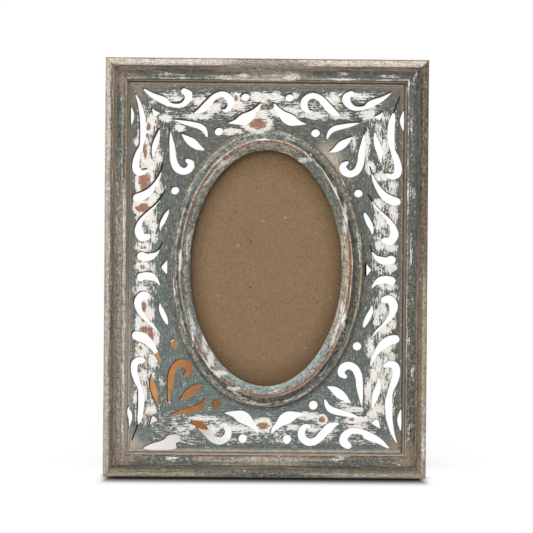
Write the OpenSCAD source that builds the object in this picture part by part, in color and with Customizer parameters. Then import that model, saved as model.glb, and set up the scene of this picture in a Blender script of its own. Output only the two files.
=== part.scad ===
// Photograph frame that stands on a hinged strut.
// Four mitred moulding lengths hold a fretted panel with an oval moulding on its face.
// Behind the oval lie a glass and a backing board, held by four turn buttons.
// Pieces are laid out face up, back on the plane Z = 0, and stood up at the end.

/* [Frame] */
// Overall width of the frame
frame_w = 196; // [184:1:230]
// Overall height of the frame
frame_h = 254; // [242:1:300]
// Thickness from the back of the moulding to the top of its outer bead
frame_t = 20; // [18.5:0.5:26]

/* [Moulding] */
// Width of the moulding as seen from the front
rail_face = 12.9; // [11.9:0.1:16]
// Width of the ledge that covers the edge of the fret panel
ledge_w = 3.4; // [2.4:0.1:4.4]
// Radius of the round bead along the outer edge
outer_bead_r = 2.8; // [2:0.1:3.2]
// Width of the narrow sunk line beside the outer bead
quirk_w = 1.5; // [0.8:0.1:2]
// Depth of the narrow sunk line below the rim of the hollow
quirk_d = 1.4; // [0.6:0.1:2.5]
// Drop from the top of the outer bead to the outer rim of the hollow
hollow_drop = 3; // [2.5:0.1:4]
// Radius of the hollow
hollow_r = 6.1; // [5:0.1:9]
// Width of the flat strip at the inner edge of the moulding
arris_w = 0.8; // [0.5:0.1:1.4]
// Height of that strip above the edge of the panel
arris_h = 3.4; // [2.6:0.1:4]

/* [Fret panel] */
// Distance from the back of the moulding to the back of the panel
panel_recess = 5.3; // [4.8:0.1:6]
// Thickness of the panel along its edge
panel_edge_t = 4.7; // [4:0.1:6]
// Width of the groove beside the moulding
groove_w = 1.5; // [0.8:0.1:2]
// Radius of the small bead beside the groove
small_bead_r = 0.8; // [0.5:0.05:1]
// Height of the flat field above the edge of the panel
field_rise = 0.7; // [0.4:0.05:1]
// Height of the rounded band above the flat field
crown_rise = 1.2; // [0.6:0.05:1.6]
// Distance from the small bead to the middle of the rounded band
crown_reach = 11.4; // [9:0.1:13]
// Lean of the saw cuts to the right, going backwards
cut_lean_side = 4; // [0:0.5:6]
// Lean of the saw cuts downwards, going backwards
cut_lean_down = 6; // [0:0.5:8]

/* [Oval] */
// Width of the oval opening
sight_w = 92.2; // [84:0.2:96]
// Height of the oval opening
sight_h = 143.8; // [134:0.2:150]
// Width of the oval moulding
oval_face = 13.3; // [12:0.1:14]
// How far the oval moulding reaches over the glass
oval_ledge = 4.7; // [3:0.1:5.5]
// Radius of the crest of the oval moulding
crest_r = 1.25; // [0.8:0.05:1.5]
// Thickness of the glass
glass_t = 2; // [1.5:0.1:2]
// Thickness of the backing board
board_t = 3; // [2.5:0.1:3]

/* [Strut] */
// Distance of the strut's hinge from the left side of the frame
hinge_from_side = 107; // [100:1:112]
// Distance of the strut's hinge from the bottom of the frame
hinge_from_base = 109; // [102:1:114]
// Angle between the open strut and the back of the frame
strut_open = 38; // [32:1:42]
// Thickness of the strut
strut_t = 3; // [2:0.1:4]
// Width of the strut at its hinge
strut_top_w = 34; // [28:1:40]
// Width of the strut near its foot
strut_foot_w = 60; // [48:1:64]
// Distance that the foot stays inside the sides of the frame when folded
foot_inset = 1.2; // [0.5:0.1:4]
// Length that is clipped from the point of the foot
foot_clip = 4; // [2:0.5:8]

/* [Hardware] */
// Length of the hinge along its pin
hinge_len = 24; // [18:1:27]
// Reach of each hinge leaf from the pin
leaf_reach = 12; // [10:0.5:16]
// Thickness of the hinge leaves
leaf_t = 0.8; // [0.6:0.1:1]
// Diameter of the hinge pin
pin_d = 1; // [0.8:0.1:1]
// Length of a turn button between its two round ends
button_len = 12; // [10:0.5:14]
// Width of a turn button at its square end
button_w = 10; // [7:0.2:11]
// Distance from a turn button's screw to its square end
button_heel = 4.2; // [3:0.1:5]
// Thickness of a turn button
button_t = 1; // [0.8:0.1:1.2]
// Diameter of the button screws
button_screw_d = 2.2; // [1.8:0.1:3]

/* [Hidden] */
$fn = 48;

// Room between pieces that lie loosely in each other
slack = 0.1;
// Room around pieces that drop into a rebate
rebate_slack = 0.3;
// Room between a pin and its hole
running = 0.05;
// Something to cut through a surface with
through = 1;

// Heights above the back of the moulding
panel_back = panel_recess;
panel_edge = panel_back + panel_edge_t;
field = panel_edge + field_rise;
glass_front = field - slack;
board_front = glass_front - glass_t - slack;
board_back = board_front - board_t;
hinge_z = board_back - leaf_t - leaf_gap();
function leaf_gap() = pin_d / 2 + running + 0.05;

// Half sizes of the panel as seen, and with the edge that the moulding covers
seen_x = frame_w / 2 - rail_face;
seen_y = frame_h / 2 - rail_face;
covered = ledge_w - 0.15;

// Strut, measured along its middle line from the hinge
leaf_stack = leaf_t + leaf_gap();
hinge_x = hinge_from_side - frame_w / 2;
hinge_y = hinge_from_base - frame_h / 2;
foot_run = min(hinge_from_side, hinge_from_base) - foot_inset;
strut_len = foot_run * sqrt(2);
strut_heel = (leaf_stack * (1 + cos(strut_open)) - running) / sin(strut_open);
// The foot's front edge, up from the base and back from the moulding, gives the lean
foot_up = hinge_from_base - (strut_len * cos(strut_open) - leaf_stack * sin(strut_open)) / sqrt(2);
foot_back = strut_len * sin(strut_open) + leaf_stack * cos(strut_open) - hinge_z;
lean = atan(foot_up / foot_back);
// Slope of the foot's two faces across the strut, so that one lies flat on the table
foot_slope = cos(strut_open) + sqrt(2) * sin(strut_open) * tan(lean);

// Turn buttons: position round the oval in degrees, and distance out from the opening
button_right = [0, 11.4];
button_upper = [114, 13.2];
button_left = [190, 11.6];
button_lower = [300, 11.6];
buttons = [button_right, button_upper, button_left, button_lower];
button_back = panel_back - slack - button_t;

// Metal pieces
nail_leg = 4.5;
nail_t = 0.5;
nail_len = 6;
nail_places = [3.6, 6.4];
point_w = 6;
point_t = 0.5;
point_in = 4.5;
point_over = 5.8;
head_t = 1.3;
screw_slot_w = 0.5;
hinge_screw_d = 1.2;
hinge_screw_head_d = 2.5;
hinge_screw_len = 2.2;
rivet_d = 2;
rivet_head_r = 2.1;
rivet_head_t = 0.8;

// Saw-cut ornament of the upper right quarter, in millimetres from the panel's centre.
// A stroke is a list of [x, y, width] along its middle, drawn for a panel with this
// half size to its visible edge and with this half size to the outside of the oval moulding.
drawn_edge = [85.1, 114.1];
drawn_oval = [59.4, 85.2];
corner_scroll = [
    [75.5, 108, 1], [70, 104, 3.5], [63.5, 101, 5], [59, 98.4, 3.2],
    [53, 98, 3.8], [48.8, 101, 4.8], [48.2, 104.8, 5.2], [51, 107, 4]
];
top_scroll = [
    [45, 93.5, 1], [40, 95.5, 4.8], [36, 99.5, 5], [31.8, 103.8, 4.5], [27, 105.2, 4.5],
    [23, 102.6, 4.8], [22.4, 98.6, 4.4], [24.6, 95.8, 3.4], [27, 95.6, 2]
];
top_leaf = [
    [24.5, 88, 0.6], [19.5, 88.6, 3.6], [15, 90, 7.2], [11.5, 91.8, 7],
    [8, 95, 4], [5.5, 97.6, 3], [4, 100.5, 0.8]
];
fan_upper = [[57, 89.6, 0.6], [52, 88.2, 2.6], [46.5, 87, 3.6], [41, 85.5, 4], [38, 83, 3], [36.4, 79, 1]];
fan_middle = [[52, 81, 0.6], [48.6, 78, 4], [45.4, 75.6, 5.4], [42, 73, 4], [38, 71.2, 1]];
fan_lower = [
    [59, 82.5, 0.6], [58.4, 77, 2.6], [57.6, 71, 4], [57, 65, 4.4],
    [54.8, 60.2, 4.6], [51, 58.2, 4.8], [47.4, 59.6, 5], [46.4, 63, 4.4], [48.6, 65, 2.6]
];
corner_wedge = [[70.8, 97], [68.4, 95], [64.6, 93.4], [66.4, 91.4], [69, 90.2]];
side_scroll = [
    [80.4, 104.6, 0.6], [78, 99, 2.2], [76.2, 92, 3.6], [75.5, 86, 4.2], [75.4, 80, 4.4],
    [76.4, 73.6, 3.2], [78.2, 69, 4.2], [79.8, 63.5, 4.6], [79.4, 58.9, 5], [76.6, 56.9, 4.4], [73.2, 58, 2.8]
];
side_leaf = [[65.5, 84, 0.6], [66.4, 79.5, 3], [67.8, 74.5, 4.4], [69, 70, 3], [69.2, 65, 0.6]];
edge_sliver = [[82.9, 97.2, 0.5], [82.1, 92.4, 2.4], [82.1, 89.2, 2.3], [82.9, 84.6, 0.5]];
side_tongue = [[64, 58.5, 0.6], [65.6, 54, 2.4], [68.2, 49.4, 3.6], [71.6, 45.2, 5.2], [75.4, 42.8, 6], [79, 41.8, 5.4]];
lower_scroll = [
    [64, 42, 0.6], [67.6, 37.2, 1.6], [71.4, 33.6, 2], [74.6, 30, 3],
    [77.2, 26, 4], [77.8, 21.4, 5.4], [75.4, 17.8, 5.6], [72.4, 18, 4.6]
];
lower_leaf = [[59.6, 35, 1], [61, 31.8, 3], [63, 27.6, 3.4], [64.2, 24.6, 2.4], [64.6, 21.4, 0.6]];
middle_tongue = [[64.5, 11.2, 0.6], [66.6, 8.2, 2.6], [69.8, 6.2, 4.8], [73, 5.6, 5], [76.2, 6.4, 5.6]];
middle_wedge = [[60, 5.2], [64.4, 0], [60, -5.2]];
dots = [[13.5, 103.6, 5.4], [29.4, 82.6, 5.4], [55.8, 46.4, 5.2]];
strokes = [
    top_scroll, top_leaf, fan_upper, fan_middle, fan_lower, side_scroll,
    side_leaf, side_tongue, lower_scroll, lower_leaf, middle_tongue
];
// The lower left corner was cut differently: a foot-shaped opening and a kinked sliver
foot_cut = [
    [-76.4, -111.2], [-70, -107.6], [-61.6, -105.2], [-59.4, -102], [-53, -101.2],
    [-50.8, -103.6], [-51.4, -105.8], [-54.2, -106.8], [-53, -111.2]
];
kinked_sliver = [[-82.8, -98.4, 0.5], [-82, -92.6, 2.8], [-82.6, -89, 3.2], [-83.2, -86.6, 1.8], [-82.6, -84.2, 0.5]];

// Half sizes of this panel, in the same way, and how far its fretted field is stretched
panel_edge_at = [seen_x, seen_y];
panel_oval_at = [sight_w / 2 + oval_face, sight_h / 2 + oval_face];
stretch = [
    for (i = [0, 1]) (panel_edge_at[i] - panel_oval_at[i]) / (drawn_edge[i] - drawn_oval[i])
];
// Strokes grow thinner where the field is stretched unevenly, or their tight bends would close up
thinning = 1.4;
stroke_scale = pow(min(stretch.x * stretch.x / stretch.y, stretch.y * stretch.y / stretch.x, 1), thinning);

// Moves a drawn distance so that it keeps its place between the oval and the edge
function moved(c, i) =
    let (from_oval = abs(c) - drawn_oval[i])
    sign(c) * (from_oval > 0
        ? panel_oval_at[i] + from_oval * stretch[i]
        : abs(c) * panel_oval_at[i] / drawn_oval[i]);
function moved_point(p) = [moved(p.x, 0), moved(p.y, 1)];
function moved_stroke(s) = [for (p = s) concat(moved_point(p), p.z * stroke_scale)];

// Point on a smooth curve through p1 and p2, t from 0 to 1
function curve_point(p0, p1, p2, p3, t) =
    0.5 * (2 * p1 + t * (p2 - p0) + t * t * (2 * p0 - 5 * p1 + 4 * p2 - p3)
    + t * t * t * (3 * p1 - p0 - 3 * p2 + p3));

// The stroke's own points with steps - 1 more between each pair
function smooth(s, steps) = concat([
    for (i = [0 : len(s) - 2], k = [0 : steps - 1])
        curve_point(s[max(i - 1, 0)], s[i], s[i + 1], s[min(i + 2, len(s) - 1)], k / steps)
], [s[len(s) - 1]]);

// Unit vector across the stroke at point i
function across(s, i) =
    let (a = s[max(i - 1, 0)], b = s[min(i + 1, len(s) - 1)], d = [b.x - a.x, b.y - a.y])
    [-d.y, d.x] / norm(d);

function stroke_side(s, sign) = [
    for (i = [0 : len(s) - 1]) [s[i].x, s[i].y] + across(s, i) * sign * max(s[i].z, 0.3) / 2
];

function reversed(v) = [for (i = [len(v) - 1 : -1 : 0]) v[i]];

// Width of the strut at a distance from its hinge
function strut_half(u) =
    let (foot_u = strut_len - strut_foot_w / 2 / foot_slope)
    (strut_top_w + (strut_foot_w - strut_top_w) * (u + strut_heel) / (foot_u + strut_heel)) / 2;

// Centre of a circle of radius r through two points, to the right of the way from p to q
function arc_centre(p, q, r) =
    let (d = q - p, m = (p + q) / 2, h = sqrt(r * r - d * d / 4))
    m + h * [d.y, -d.x] / norm(d);

// Points at equal turns along an arc about c, both ends included
function arc(c, r, from, to, steps) =
    [for (i = [0 : steps]) let (t = from + (to - from) * i / steps) c + r * [cos(t), sin(t)]];

// Point at parameter t on an oval that lies a distance out from the edge of the opening
function oval_point(t, out) =
    let (a = sight_w / 2, b = sight_h / 2, n = [b * cos(t), a * sin(t)])
    [a * cos(t), b * sin(t)] + n / norm(n) * out;

// Sweeps a section round the oval; its x is the distance out from the edge of the opening
module round_the_oval(section) {
    rings = 96;
    n = len(section);
    polyhedron(
        points = [for (i = [0 : rings - 1], p = section) concat(oval_point(360 * i / rings, p.x), p.y)],
        faces = [
            for (i = [0 : rings - 1], k = [0 : n - 1])
                let (j = (i + 1) % rings, l = (k + 1) % n) [i * n + k, i * n + l, j * n + l, j * n + k]
        ]
    );
}

// Flat oval whose edge lies out from the edge of the opening
module oval_outline(out) {
    a = sight_w / 2 + out;
    b = sight_h / 2 + out;
    polygon([for (i = [0 : 4 : 356]) [a * cos(i), b * sin(i)]]);
}

// Stands the flat assembly up and leans it back about the rear edge of its base
module stand_up() {
    rotate([90 - lean, 0, 0]) translate([0, frame_h / 2, 0]) children();
}

// Runs a cross-section drawn from the outer edge inwards along one side, cut at the mitres
module mitred(length, inset, width) {
    intersection() {
        translate([-length / 2, 0, 0]) rotate([90, 0, 90]) linear_extrude(length) children();
        translate([0, 0, -through]) linear_extrude(frame_t + 2 * through)
            polygon([
                [-length / 2 + inset - through, -through], [length / 2 - inset + through, -through],
                [length / 2 - inset - width, width], [-length / 2 + inset + width, width]
            ]);
    }
}

// Cross-section of the moulding: outer bead, quirk, hollow, inner arris and rebate
module moulding_section() {
    bead_w = 2 * outer_bead_r;
    bead_y = frame_t - outer_bead_r;
    rim = [bead_w + quirk_w, frame_t - hollow_drop];
    toe = [rail_face - arris_w, panel_edge + arris_h];
    ledge = rail_face - ledge_w;
    difference() {
        union() {
            polygon([
                [0, 0], [ledge, 0], [ledge, panel_edge + slack], [rail_face, panel_edge + slack],
                [rail_face, toe.y], toe, rim, [rim.x, rim.y - quirk_d],
                [bead_w, rim.y - quirk_d], [bead_w, bead_y], [0, bead_y]
            ]);
            translate([outer_bead_r, bead_y]) circle(outer_bead_r);
        }
        translate(arc_centre(toe, rim, hollow_r)) circle(hollow_r);
    }
}

// Cross-section of the panel's border: covered edge, groove, small bead and rounded band
module border_section(depth) {
    bead_x = groove_w + small_bead_r;
    band_x = bead_x + small_bead_r;
    sagitta = crown_rise + field_rise - band_foot();
    crown_r = (crown_reach * crown_reach + sagitta * sagitta) / 2 / sagitta;
    crown_top = field + crown_rise;
    translate([-covered, panel_back]) square([depth + covered, panel_edge_t]);
    translate([groove_w, panel_back]) square([2 * small_bead_r, panel_edge_t + band_foot()]);
    translate([bead_x, panel_edge + band_foot()]) circle(small_bead_r);
    intersection() {
        translate([band_x + crown_reach, crown_top - crown_r]) circle(crown_r, $fn = 128);
        translate([band_x, panel_back]) square([2 * crown_reach, panel_edge_t + 4]);
    }
    translate([band_x + crown_reach, panel_back]) square([depth - band_x - crown_reach, field - panel_back]);
}

// Height of the foot of the rounded band and of the small bead's middle
function band_foot() = field_rise * 0.75;

// Cross-section of the oval moulding, from the opening's edge outwards, clockwise
oval_lip_h = 1.5;
oval_crest = [0.46 * oval_face, 5];
oval_edge_r = 0.7;
function oval_section() =
    let (
        edge_c = [oval_face - oval_edge_r, oval_edge_r + 0.5],
        rim = [oval_crest.x + crest_r + 0.4, oval_crest.y - 0.3],
        toe = [oval_face - 2 * oval_edge_r, oval_edge_r + 0.8],
        cove_r = 4.6,
        cove_c = arc_centre(toe, rim, cove_r),
        from = atan2(rim.y - cove_c.y, rim.x - cove_c.x),
        to = atan2(toe.y - cove_c.y, toe.x - cove_c.x)
    )
    [
        for (p = concat(
            [[0, 0], [0, oval_lip_h]],
            arc(oval_crest, crest_r, 150, 0, 6),
            arc(cove_c, cove_r, from, to, 6),
            arc(edge_c, oval_edge_r, 125, 0, 4),
            [[oval_face, 0]]
        )) p + [0, field]
    ];

// One saw-cut stroke, with a round end where it stops wide
module stroke(s) {
    line = smooth(moved_stroke(s), 3);
    end = line[len(line) - 1];
    back = across(line, len(line) - 1);
    turn = atan2(back.y, back.x);
    round_end = end.z > 1.5 ? arc([end.x, end.y], end.z / 2, turn - 30, turn - 150, 4) : [];
    polygon(concat(stroke_side(line, 1), round_end, reversed(stroke_side(line, -1))));
}

// The quarter's ornament without its corner and edge pieces
module quarter_fret() {
    for (s = strokes) stroke(s);
    for (d = dots) translate(moved_point(d)) circle(d.z * stroke_scale / 2);
    outline(corner_wedge);
}

module outline(points) {
    polygon([for (p = points) moved_point(p)]);
}

module corner_cuts() {
    stroke(corner_scroll);
    stroke(edge_sliver);
}

// The whole ornament
module fret_cuts() {
    for (m = [0, 1], n = [0, 1]) mirror([m, 0]) mirror([0, n]) {
        quarter_fret();
        if (m == 0 || n == 0) corner_cuts();
    }
    for (m = [0, 1]) mirror([m, 0]) outline(middle_wedge);
    outline(foot_cut);
    stroke(kinked_sliver);
}

module rail(length) {
    difference() {
        mitred(length, 0, rail_face + through) moulding_section();
        for (m = [0, 1]) mirror([m, 0, 0]) translate([-length / 2, 0, 0]) corner_nail_pair(slack);
    }
}

// Two bent steel nails across one mitre, driven in from the back, at the corner [0, 0]
module corner_nail_pair(room) {
    for (p = nail_places) translate([p, p, -room]) rotate(45)
        linear_extrude(nail_len + 2 * room)
            for (m = [0, 1]) mirror([0, m]) rotate(65)
                translate([-room / 2, -(nail_t + room) / 2]) square([nail_leg + room, nail_t + room]);
}

module at_corners() {
    for (m = [0, 1], n = [0, 1]) mirror([m, 0, 0]) mirror([0, n, 0])
        translate([-frame_w / 2, -frame_h / 2, 0]) children();
}

// Flat steel points pushed into the rebate's wall, lying on the back of the panel
module at_points() {
    side_y = 0.197 * frame_h;
    end_x = 0.16 * frame_w;
    for (m = [0, 1], n = [0, 1]) mirror([m, 0, 0]) mirror([0, n, 0]) {
        translate([-frame_w / 2 + rail_face - ledge_w, -side_y, 0]) children();
        translate([-end_x, -frame_h / 2 + rail_face - ledge_w, 0]) rotate(90) children();
    }
}

module retaining_point(room) {
    translate([-point_in - room, -point_w / 2 - room, panel_back - slack - point_t - room])
        cube([point_in + point_over + room, point_w + 2 * room, point_t + 2 * room]);
}

module moulding_length(length) {
    color("#7d8079") rail(length);
}

module bottom_rail_flat() {
    translate([0, -frame_h / 2, 0]) moulding_length(frame_w);
}

module left_stile_flat() {
    translate([-frame_w / 2, 0, 0]) rotate(-90) moulding_length(frame_h);
}

module bottom_rail() {
    stand_up() difference() {
        bottom_rail_flat();
        at_points() retaining_point(slack);
    }
}

module top_rail() {
    stand_up() rotate(180) difference() {
        bottom_rail_flat();
        at_points() retaining_point(slack);
    }
}

module left_stile() {
    stand_up() difference() {
        left_stile_flat();
        at_points() retaining_point(slack);
    }
}

module right_stile() {
    stand_up() rotate(180) difference() {
        left_stile_flat();
        at_points() retaining_point(slack);
    }
}

module corner_nails() {
    color("#8a8c8e") stand_up() at_corners() corner_nail_pair(0);
}

module retaining_points() {
    color("#9a9c9e") stand_up() at_points() retaining_point(0);
}

// The panel with its mitred borders, before anything is cut out of it
module panel_blank() {
    border = 30;
    for (r = [0, 180]) rotate(r) {
        translate([0, -seen_y, 0]) mitred(2 * (seen_x + covered), covered, border) border_section(border);
        translate([-seen_x, 0, 0]) rotate(-90) mitred(2 * (seen_y + covered), covered, border) border_section(border);
    }
    translate([through - seen_x + border - 2 * through, through - seen_y + border - 2 * through, panel_back])
        cube([2 * (seen_x - border + through), 2 * (seen_y - border + through), field - panel_back]);
}

module fret_panel() {
    color("#6f7b7a") stand_up() difference() {
        panel_blank();
        translate([0, 0, panel_back - through]) linear_extrude(frame_t) oval_outline(oval_ledge);
        translate([0, 0, field]) linear_extrude(frame_t) oval_outline(oval_face + slack);
        translate([0, 0, field]) rotate([-cut_lean_down, -cut_lean_side, 0])
            translate([0, 0, -2 * frame_t]) linear_extrude(4 * frame_t) fret_cuts();
        for (b = buttons) translate(button_place(b))
            cylinder(d = button_screw_d + slack / 2, h = screw_depth + slack);
    }
}

module oval_moulding() {
    color("#8b8f8c") stand_up() round_the_oval(oval_section());
}

module glass_pane() {
    color([0.8, 0.9, 0.9, 0.4]) stand_up() translate([0, 0, glass_front - glass_t])
        linear_extrude(glass_t) oval_outline(oval_ledge - rebate_slack);
}

module backing_board() {
    color("#897155") stand_up() difference() {
        translate([0, 0, board_back]) linear_extrude(board_t) oval_outline(oval_ledge - rebate_slack);
        at_hinge() at_leaf_holes() translate([0, 0, leaf_gap() + leaf_t - slack])
            cylinder(d = hinge_screw_d + slack, h = hinge_screw_len + slack);
    }
}

// Turn buttons swivel on pan-head screws in the back of the panel
screw_depth = 3.5;
function button_place(b) =
    [(sight_w / 2 + b[1]) * cos(b[0]), (sight_h / 2 + b[1]) * sin(b[0]), panel_back - slack];

// A button lies across the edge of the backing board, pointing at the middle of the oval
module turn_button(b) {
    big = button_w / 2;
    small = 0.56 * big;
    tilt = asin((big - small) / button_len);
    place = button_place(b);
    color("#2b2c2e") stand_up() translate([place.x, place.y, button_back])
        rotate(atan2(-place.y, -place.x)) difference() {
            linear_extrude(button_t) polygon(concat(
                [[-button_heel, -big], [-button_heel, big]],
                arc([0, 0], big, 90, 90 - tilt, 1),
                arc([button_len, 0], small, 90 - tilt, tilt - 90, 12),
                arc([0, 0], big, tilt - 90, -90, 1)
            ));
            translate([0, 0, -through]) cylinder(d = button_screw_d + 2 * running, h = button_t + 2 * through);
        }
}

module turn_button_right() {
    turn_button(button_right);
}

module turn_button_upper() {
    turn_button(button_upper);
}

module turn_button_left() {
    turn_button(button_left);
}

module turn_button_lower() {
    turn_button(button_lower);
}

module button_screws() {
    head_r = button_screw_d * 1.15;
    color("#8d8f92") stand_up() for (b = buttons) translate(button_place(b)) {
        translate([0, 0, -button_t - slack]) cylinder(d = button_screw_d, h = screw_depth + button_t + slack);
        translate([0, 0, -button_t - slack - head_t]) difference() {
            union() {
                translate([0, 0, head_t / 2]) cylinder(r = head_r, h = head_t / 2);
                cylinder(r1 = 0.7 * head_r, r2 = head_r, h = head_t / 2);
            }
            translate([-screw_slot_w / 2, -head_r, -through])
                cube([screw_slot_w, 2 * head_r, through + 0.5 * head_t]);
        }
    }
}

// Puts the hinge at its place: X down the closed strut, Y along the pin, Z to the front
module at_hinge() {
    translate([hinge_x, hinge_y, hinge_z]) rotate(-135) children();
}

module at_leaf_holes() {
    for (s = [-1, 1]) translate([0.6 * leaf_reach, s * 0.33 * hinge_len, 0]) children();
}

// Knuckles along the pin: two on the board's leaf and one between them on the strut's leaf
knuckle_r = leaf_gap() + leaf_t - 0.1;
knuckle_len = hinge_len / 3 - slack;

// Leaf lying above the pin, with knuckles centred at the given places along it
module hinge_leaf(places) {
    root = knuckle_r + 0.3;
    difference() {
        union() {
            translate([root, -hinge_len / 2, leaf_gap()]) cube([leaf_reach - root, hinge_len, leaf_t]);
            for (p = places) translate([0, p, 0]) {
                translate([0, -knuckle_len / 2, leaf_gap()]) cube([root + slack, knuckle_len, leaf_t]);
                rotate([90, 0, 0]) translate([0, 0, -knuckle_len / 2]) cylinder(r = knuckle_r, h = knuckle_len);
            }
        }
        rotate([90, 0, 0]) translate([0, 0, -hinge_len]) cylinder(r = pin_d / 2 + running, h = 2 * hinge_len);
    }
}

module hinge_board_leaf() {
    hole_d = hinge_screw_d + 2 * slack;
    color("#a08a5a") stand_up() at_hinge() difference() {
        hinge_leaf([-hinge_len / 3, hinge_len / 3]);
        at_leaf_holes() translate([0, 0, leaf_gap() - through]) cylinder(d = hole_d, h = leaf_t + 2 * through);
        at_leaf_holes() translate([0, 0, leaf_gap() - slack])
            cylinder(d1 = hinge_screw_head_d + 4 * slack, d2 = hole_d, h = leaf_t / 2 + slack);
    }
}

module hinge_screws() {
    color("#b09a66") stand_up() at_hinge() at_leaf_holes() translate([0, 0, leaf_gap()]) {
        cylinder(d = hinge_screw_d, h = leaf_t + hinge_screw_len - slack);
        cylinder(d1 = hinge_screw_head_d, d2 = hinge_screw_d, h = leaf_t / 2);
    }
}

module hinge_pin() {
    color("#8d8f92") stand_up() at_hinge() rotate([90, 0, 0]) {
        cylinder(d = pin_d, h = hinge_len, center = true);
        for (s = [-1, 1]) translate([0, 0, s * (hinge_len / 2 + 0.2)])
            cylinder(r = pin_d / 2 + 0.4, h = 0.4, center = true);
    }
}

// Turns the pieces that swing with the strut from folded to open
module swung() {
    stand_up() at_hinge() rotate([0, strut_open, 0]) children();
}

module hinge_strut_leaf() {
    color("#a08a5a") swung() rotate([180, 0, 0]) difference() {
        hinge_leaf([0]);
        at_leaf_holes() translate([0, 0, leaf_gap() - through]) cylinder(d = rivet_d + slack, h = leaf_t + 2 * through);
    }
}

// Hardboard strut with a shaped foot: either lower face can stand on the table
module strut() {
    clip_u = strut_len - foot_clip;
    clip_w = foot_clip * foot_slope;
    foot_u = strut_len - strut_foot_w / 2 / foot_slope;
    color("#b8733c") swung() translate([0, 0, -leaf_stack - strut_t]) difference() {
        linear_extrude(strut_t) polygon([
            [-strut_heel, -strut_half(-strut_heel)], [foot_u, -strut_half(foot_u)], [clip_u, -clip_w],
            [clip_u, clip_w], [foot_u, strut_half(foot_u)], [-strut_heel, strut_half(-strut_heel)]
        ]);
        at_leaf_holes() translate([0, 0, -through]) cylinder(d = rivet_d + slack, h = strut_t + 2 * through);
    }
}

module strut_rivets() {
    color("#b09a66") swung() at_leaf_holes() translate([0, 0, -leaf_stack - strut_t]) {
        cylinder(d = rivet_d, h = strut_t + leaf_t);
        translate([0, 0, -rivet_head_t])
            cylinder(r1 = rivet_head_r - rivet_head_t - slack, r2 = rivet_head_r, h = rivet_head_t / 2);
        translate([0, 0, -rivet_head_t / 2]) cylinder(r = rivet_head_r, h = rivet_head_t / 2);
    }
}

top_rail();
bottom_rail();
left_stile();
right_stile();
corner_nails();
fret_panel();
retaining_points();
oval_moulding();
glass_pane();
backing_board();
turn_button_right();
turn_button_upper();
turn_button_left();
turn_button_lower();
button_screws();
hinge_board_leaf();
hinge_strut_leaf();
hinge_pin();
hinge_screws();
strut();
strut_rivets();
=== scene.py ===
import math

import bmesh
import bpy
from mathutils import Matrix, Vector, kdtree, noise
from mathutils.geometry import delaunay_2d_cdt


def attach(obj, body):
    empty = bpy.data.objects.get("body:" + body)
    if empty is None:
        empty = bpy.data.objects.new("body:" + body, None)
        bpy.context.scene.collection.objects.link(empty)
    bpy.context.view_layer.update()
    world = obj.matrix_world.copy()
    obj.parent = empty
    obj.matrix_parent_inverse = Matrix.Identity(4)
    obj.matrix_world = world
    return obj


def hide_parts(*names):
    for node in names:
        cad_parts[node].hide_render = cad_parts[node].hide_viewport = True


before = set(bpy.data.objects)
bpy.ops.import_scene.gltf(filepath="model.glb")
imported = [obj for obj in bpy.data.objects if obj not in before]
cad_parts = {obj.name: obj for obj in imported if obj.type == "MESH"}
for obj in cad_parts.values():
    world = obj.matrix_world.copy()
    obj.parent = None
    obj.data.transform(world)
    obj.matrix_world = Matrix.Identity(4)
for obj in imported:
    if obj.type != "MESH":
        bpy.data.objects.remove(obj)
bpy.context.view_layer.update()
scene = bpy.context.scene


# The four moulding lengths.
# Soft wood run through a moulder: a round outer bead, a narrow sunk line, a hollow and a thin
# inner arris, mitred, then brushed with slate and tan paint and rubbed through along the edges.
LEAN = math.radians(16.4049)
FRAME_W = 196
FRAME_H = 254
RAIL_FACE = 12.9
REBATE_AT = 9.5
REBATE_H = 10.1
BEAD_R = 2.8
BEAD_MIDDLE = 17.2
QUIRK_FLOOR = 15.6
HOLLOW_R = 6.1
RIM = (7.1, 17.0)
TOE = (12.1, 13.4)
RAIL_BACK = 0.06
QUIRK_END = 7.05
BARE_BACK = 1.2
BARE_REBATE = 10.6
SIDE_SKIN = 0.03
JOINT_DIRT = 0.3
UNEVENNESS = 0.09
STATION = 2.0
DIRT_LINES = (0.25, 0.5)
STOOD = (
    Matrix.Scale(0.001, 4)
    @ Matrix.Rotation(math.pi / 2 - LEAN, 4, "X")
    @ Matrix.Translation((0, FRAME_H / 2, 0))
)


def paint(red, green, blue):
    """A paint as it is mixed, on the scale of 0 to 255, as the light sees it."""
    seen = (red, green, blue)
    return (*[c / 3294.6 if c <= 10 else ((c / 255 + 0.055) / 1.055) ** 2.4 for c in seen], 1.0)


CHALK = paint(226, 224, 218)
RAW_PINE = paint(178, 142, 102)
DARK_PINE = paint(140, 104, 70)


def arc_points(centre, radius, start, end, steps):
    """Points along an arc, its ends included; the angles are in degrees."""
    turns = [math.radians(start + (end - start) * i / steps) for i in range(steps + 1)]
    return [(centre[0] + radius * math.cos(t), centre[1] + radius * math.sin(t)) for t in turns]


def hollow_points(rim, toe, radius, steps):
    """Points of a hollow planed from its rim down to its toe."""
    dx, dy = rim[0] - toe[0], rim[1] - toe[1]
    span = math.hypot(dx, dy)
    reach = math.sqrt(radius * radius - span * span / 4)
    centre = ((rim[0] + toe[0]) / 2 + reach * dy / span, (rim[1] + toe[1]) / 2 - reach * dx / span)
    start = math.degrees(math.atan2(rim[1] - centre[1], rim[0] - centre[0])) % 360
    end = math.degrees(math.atan2(toe[1] - centre[1], toe[0] - centre[0])) % 360
    return arc_points(centre, radius, start, end, steps)


def sweep(bm, points, **way):
    """Draws a closed section through the points and runs it along or round."""
    ring = [bm.verts.new(point) for point in points]
    edges = [bm.edges.new((ring[i - 1], ring[i])) for i in range(len(ring))]
    bmesh.ops.spin(bm, geom=ring + edges, cent=(0, 0, 0), use_duplicate=False, **way)


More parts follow.
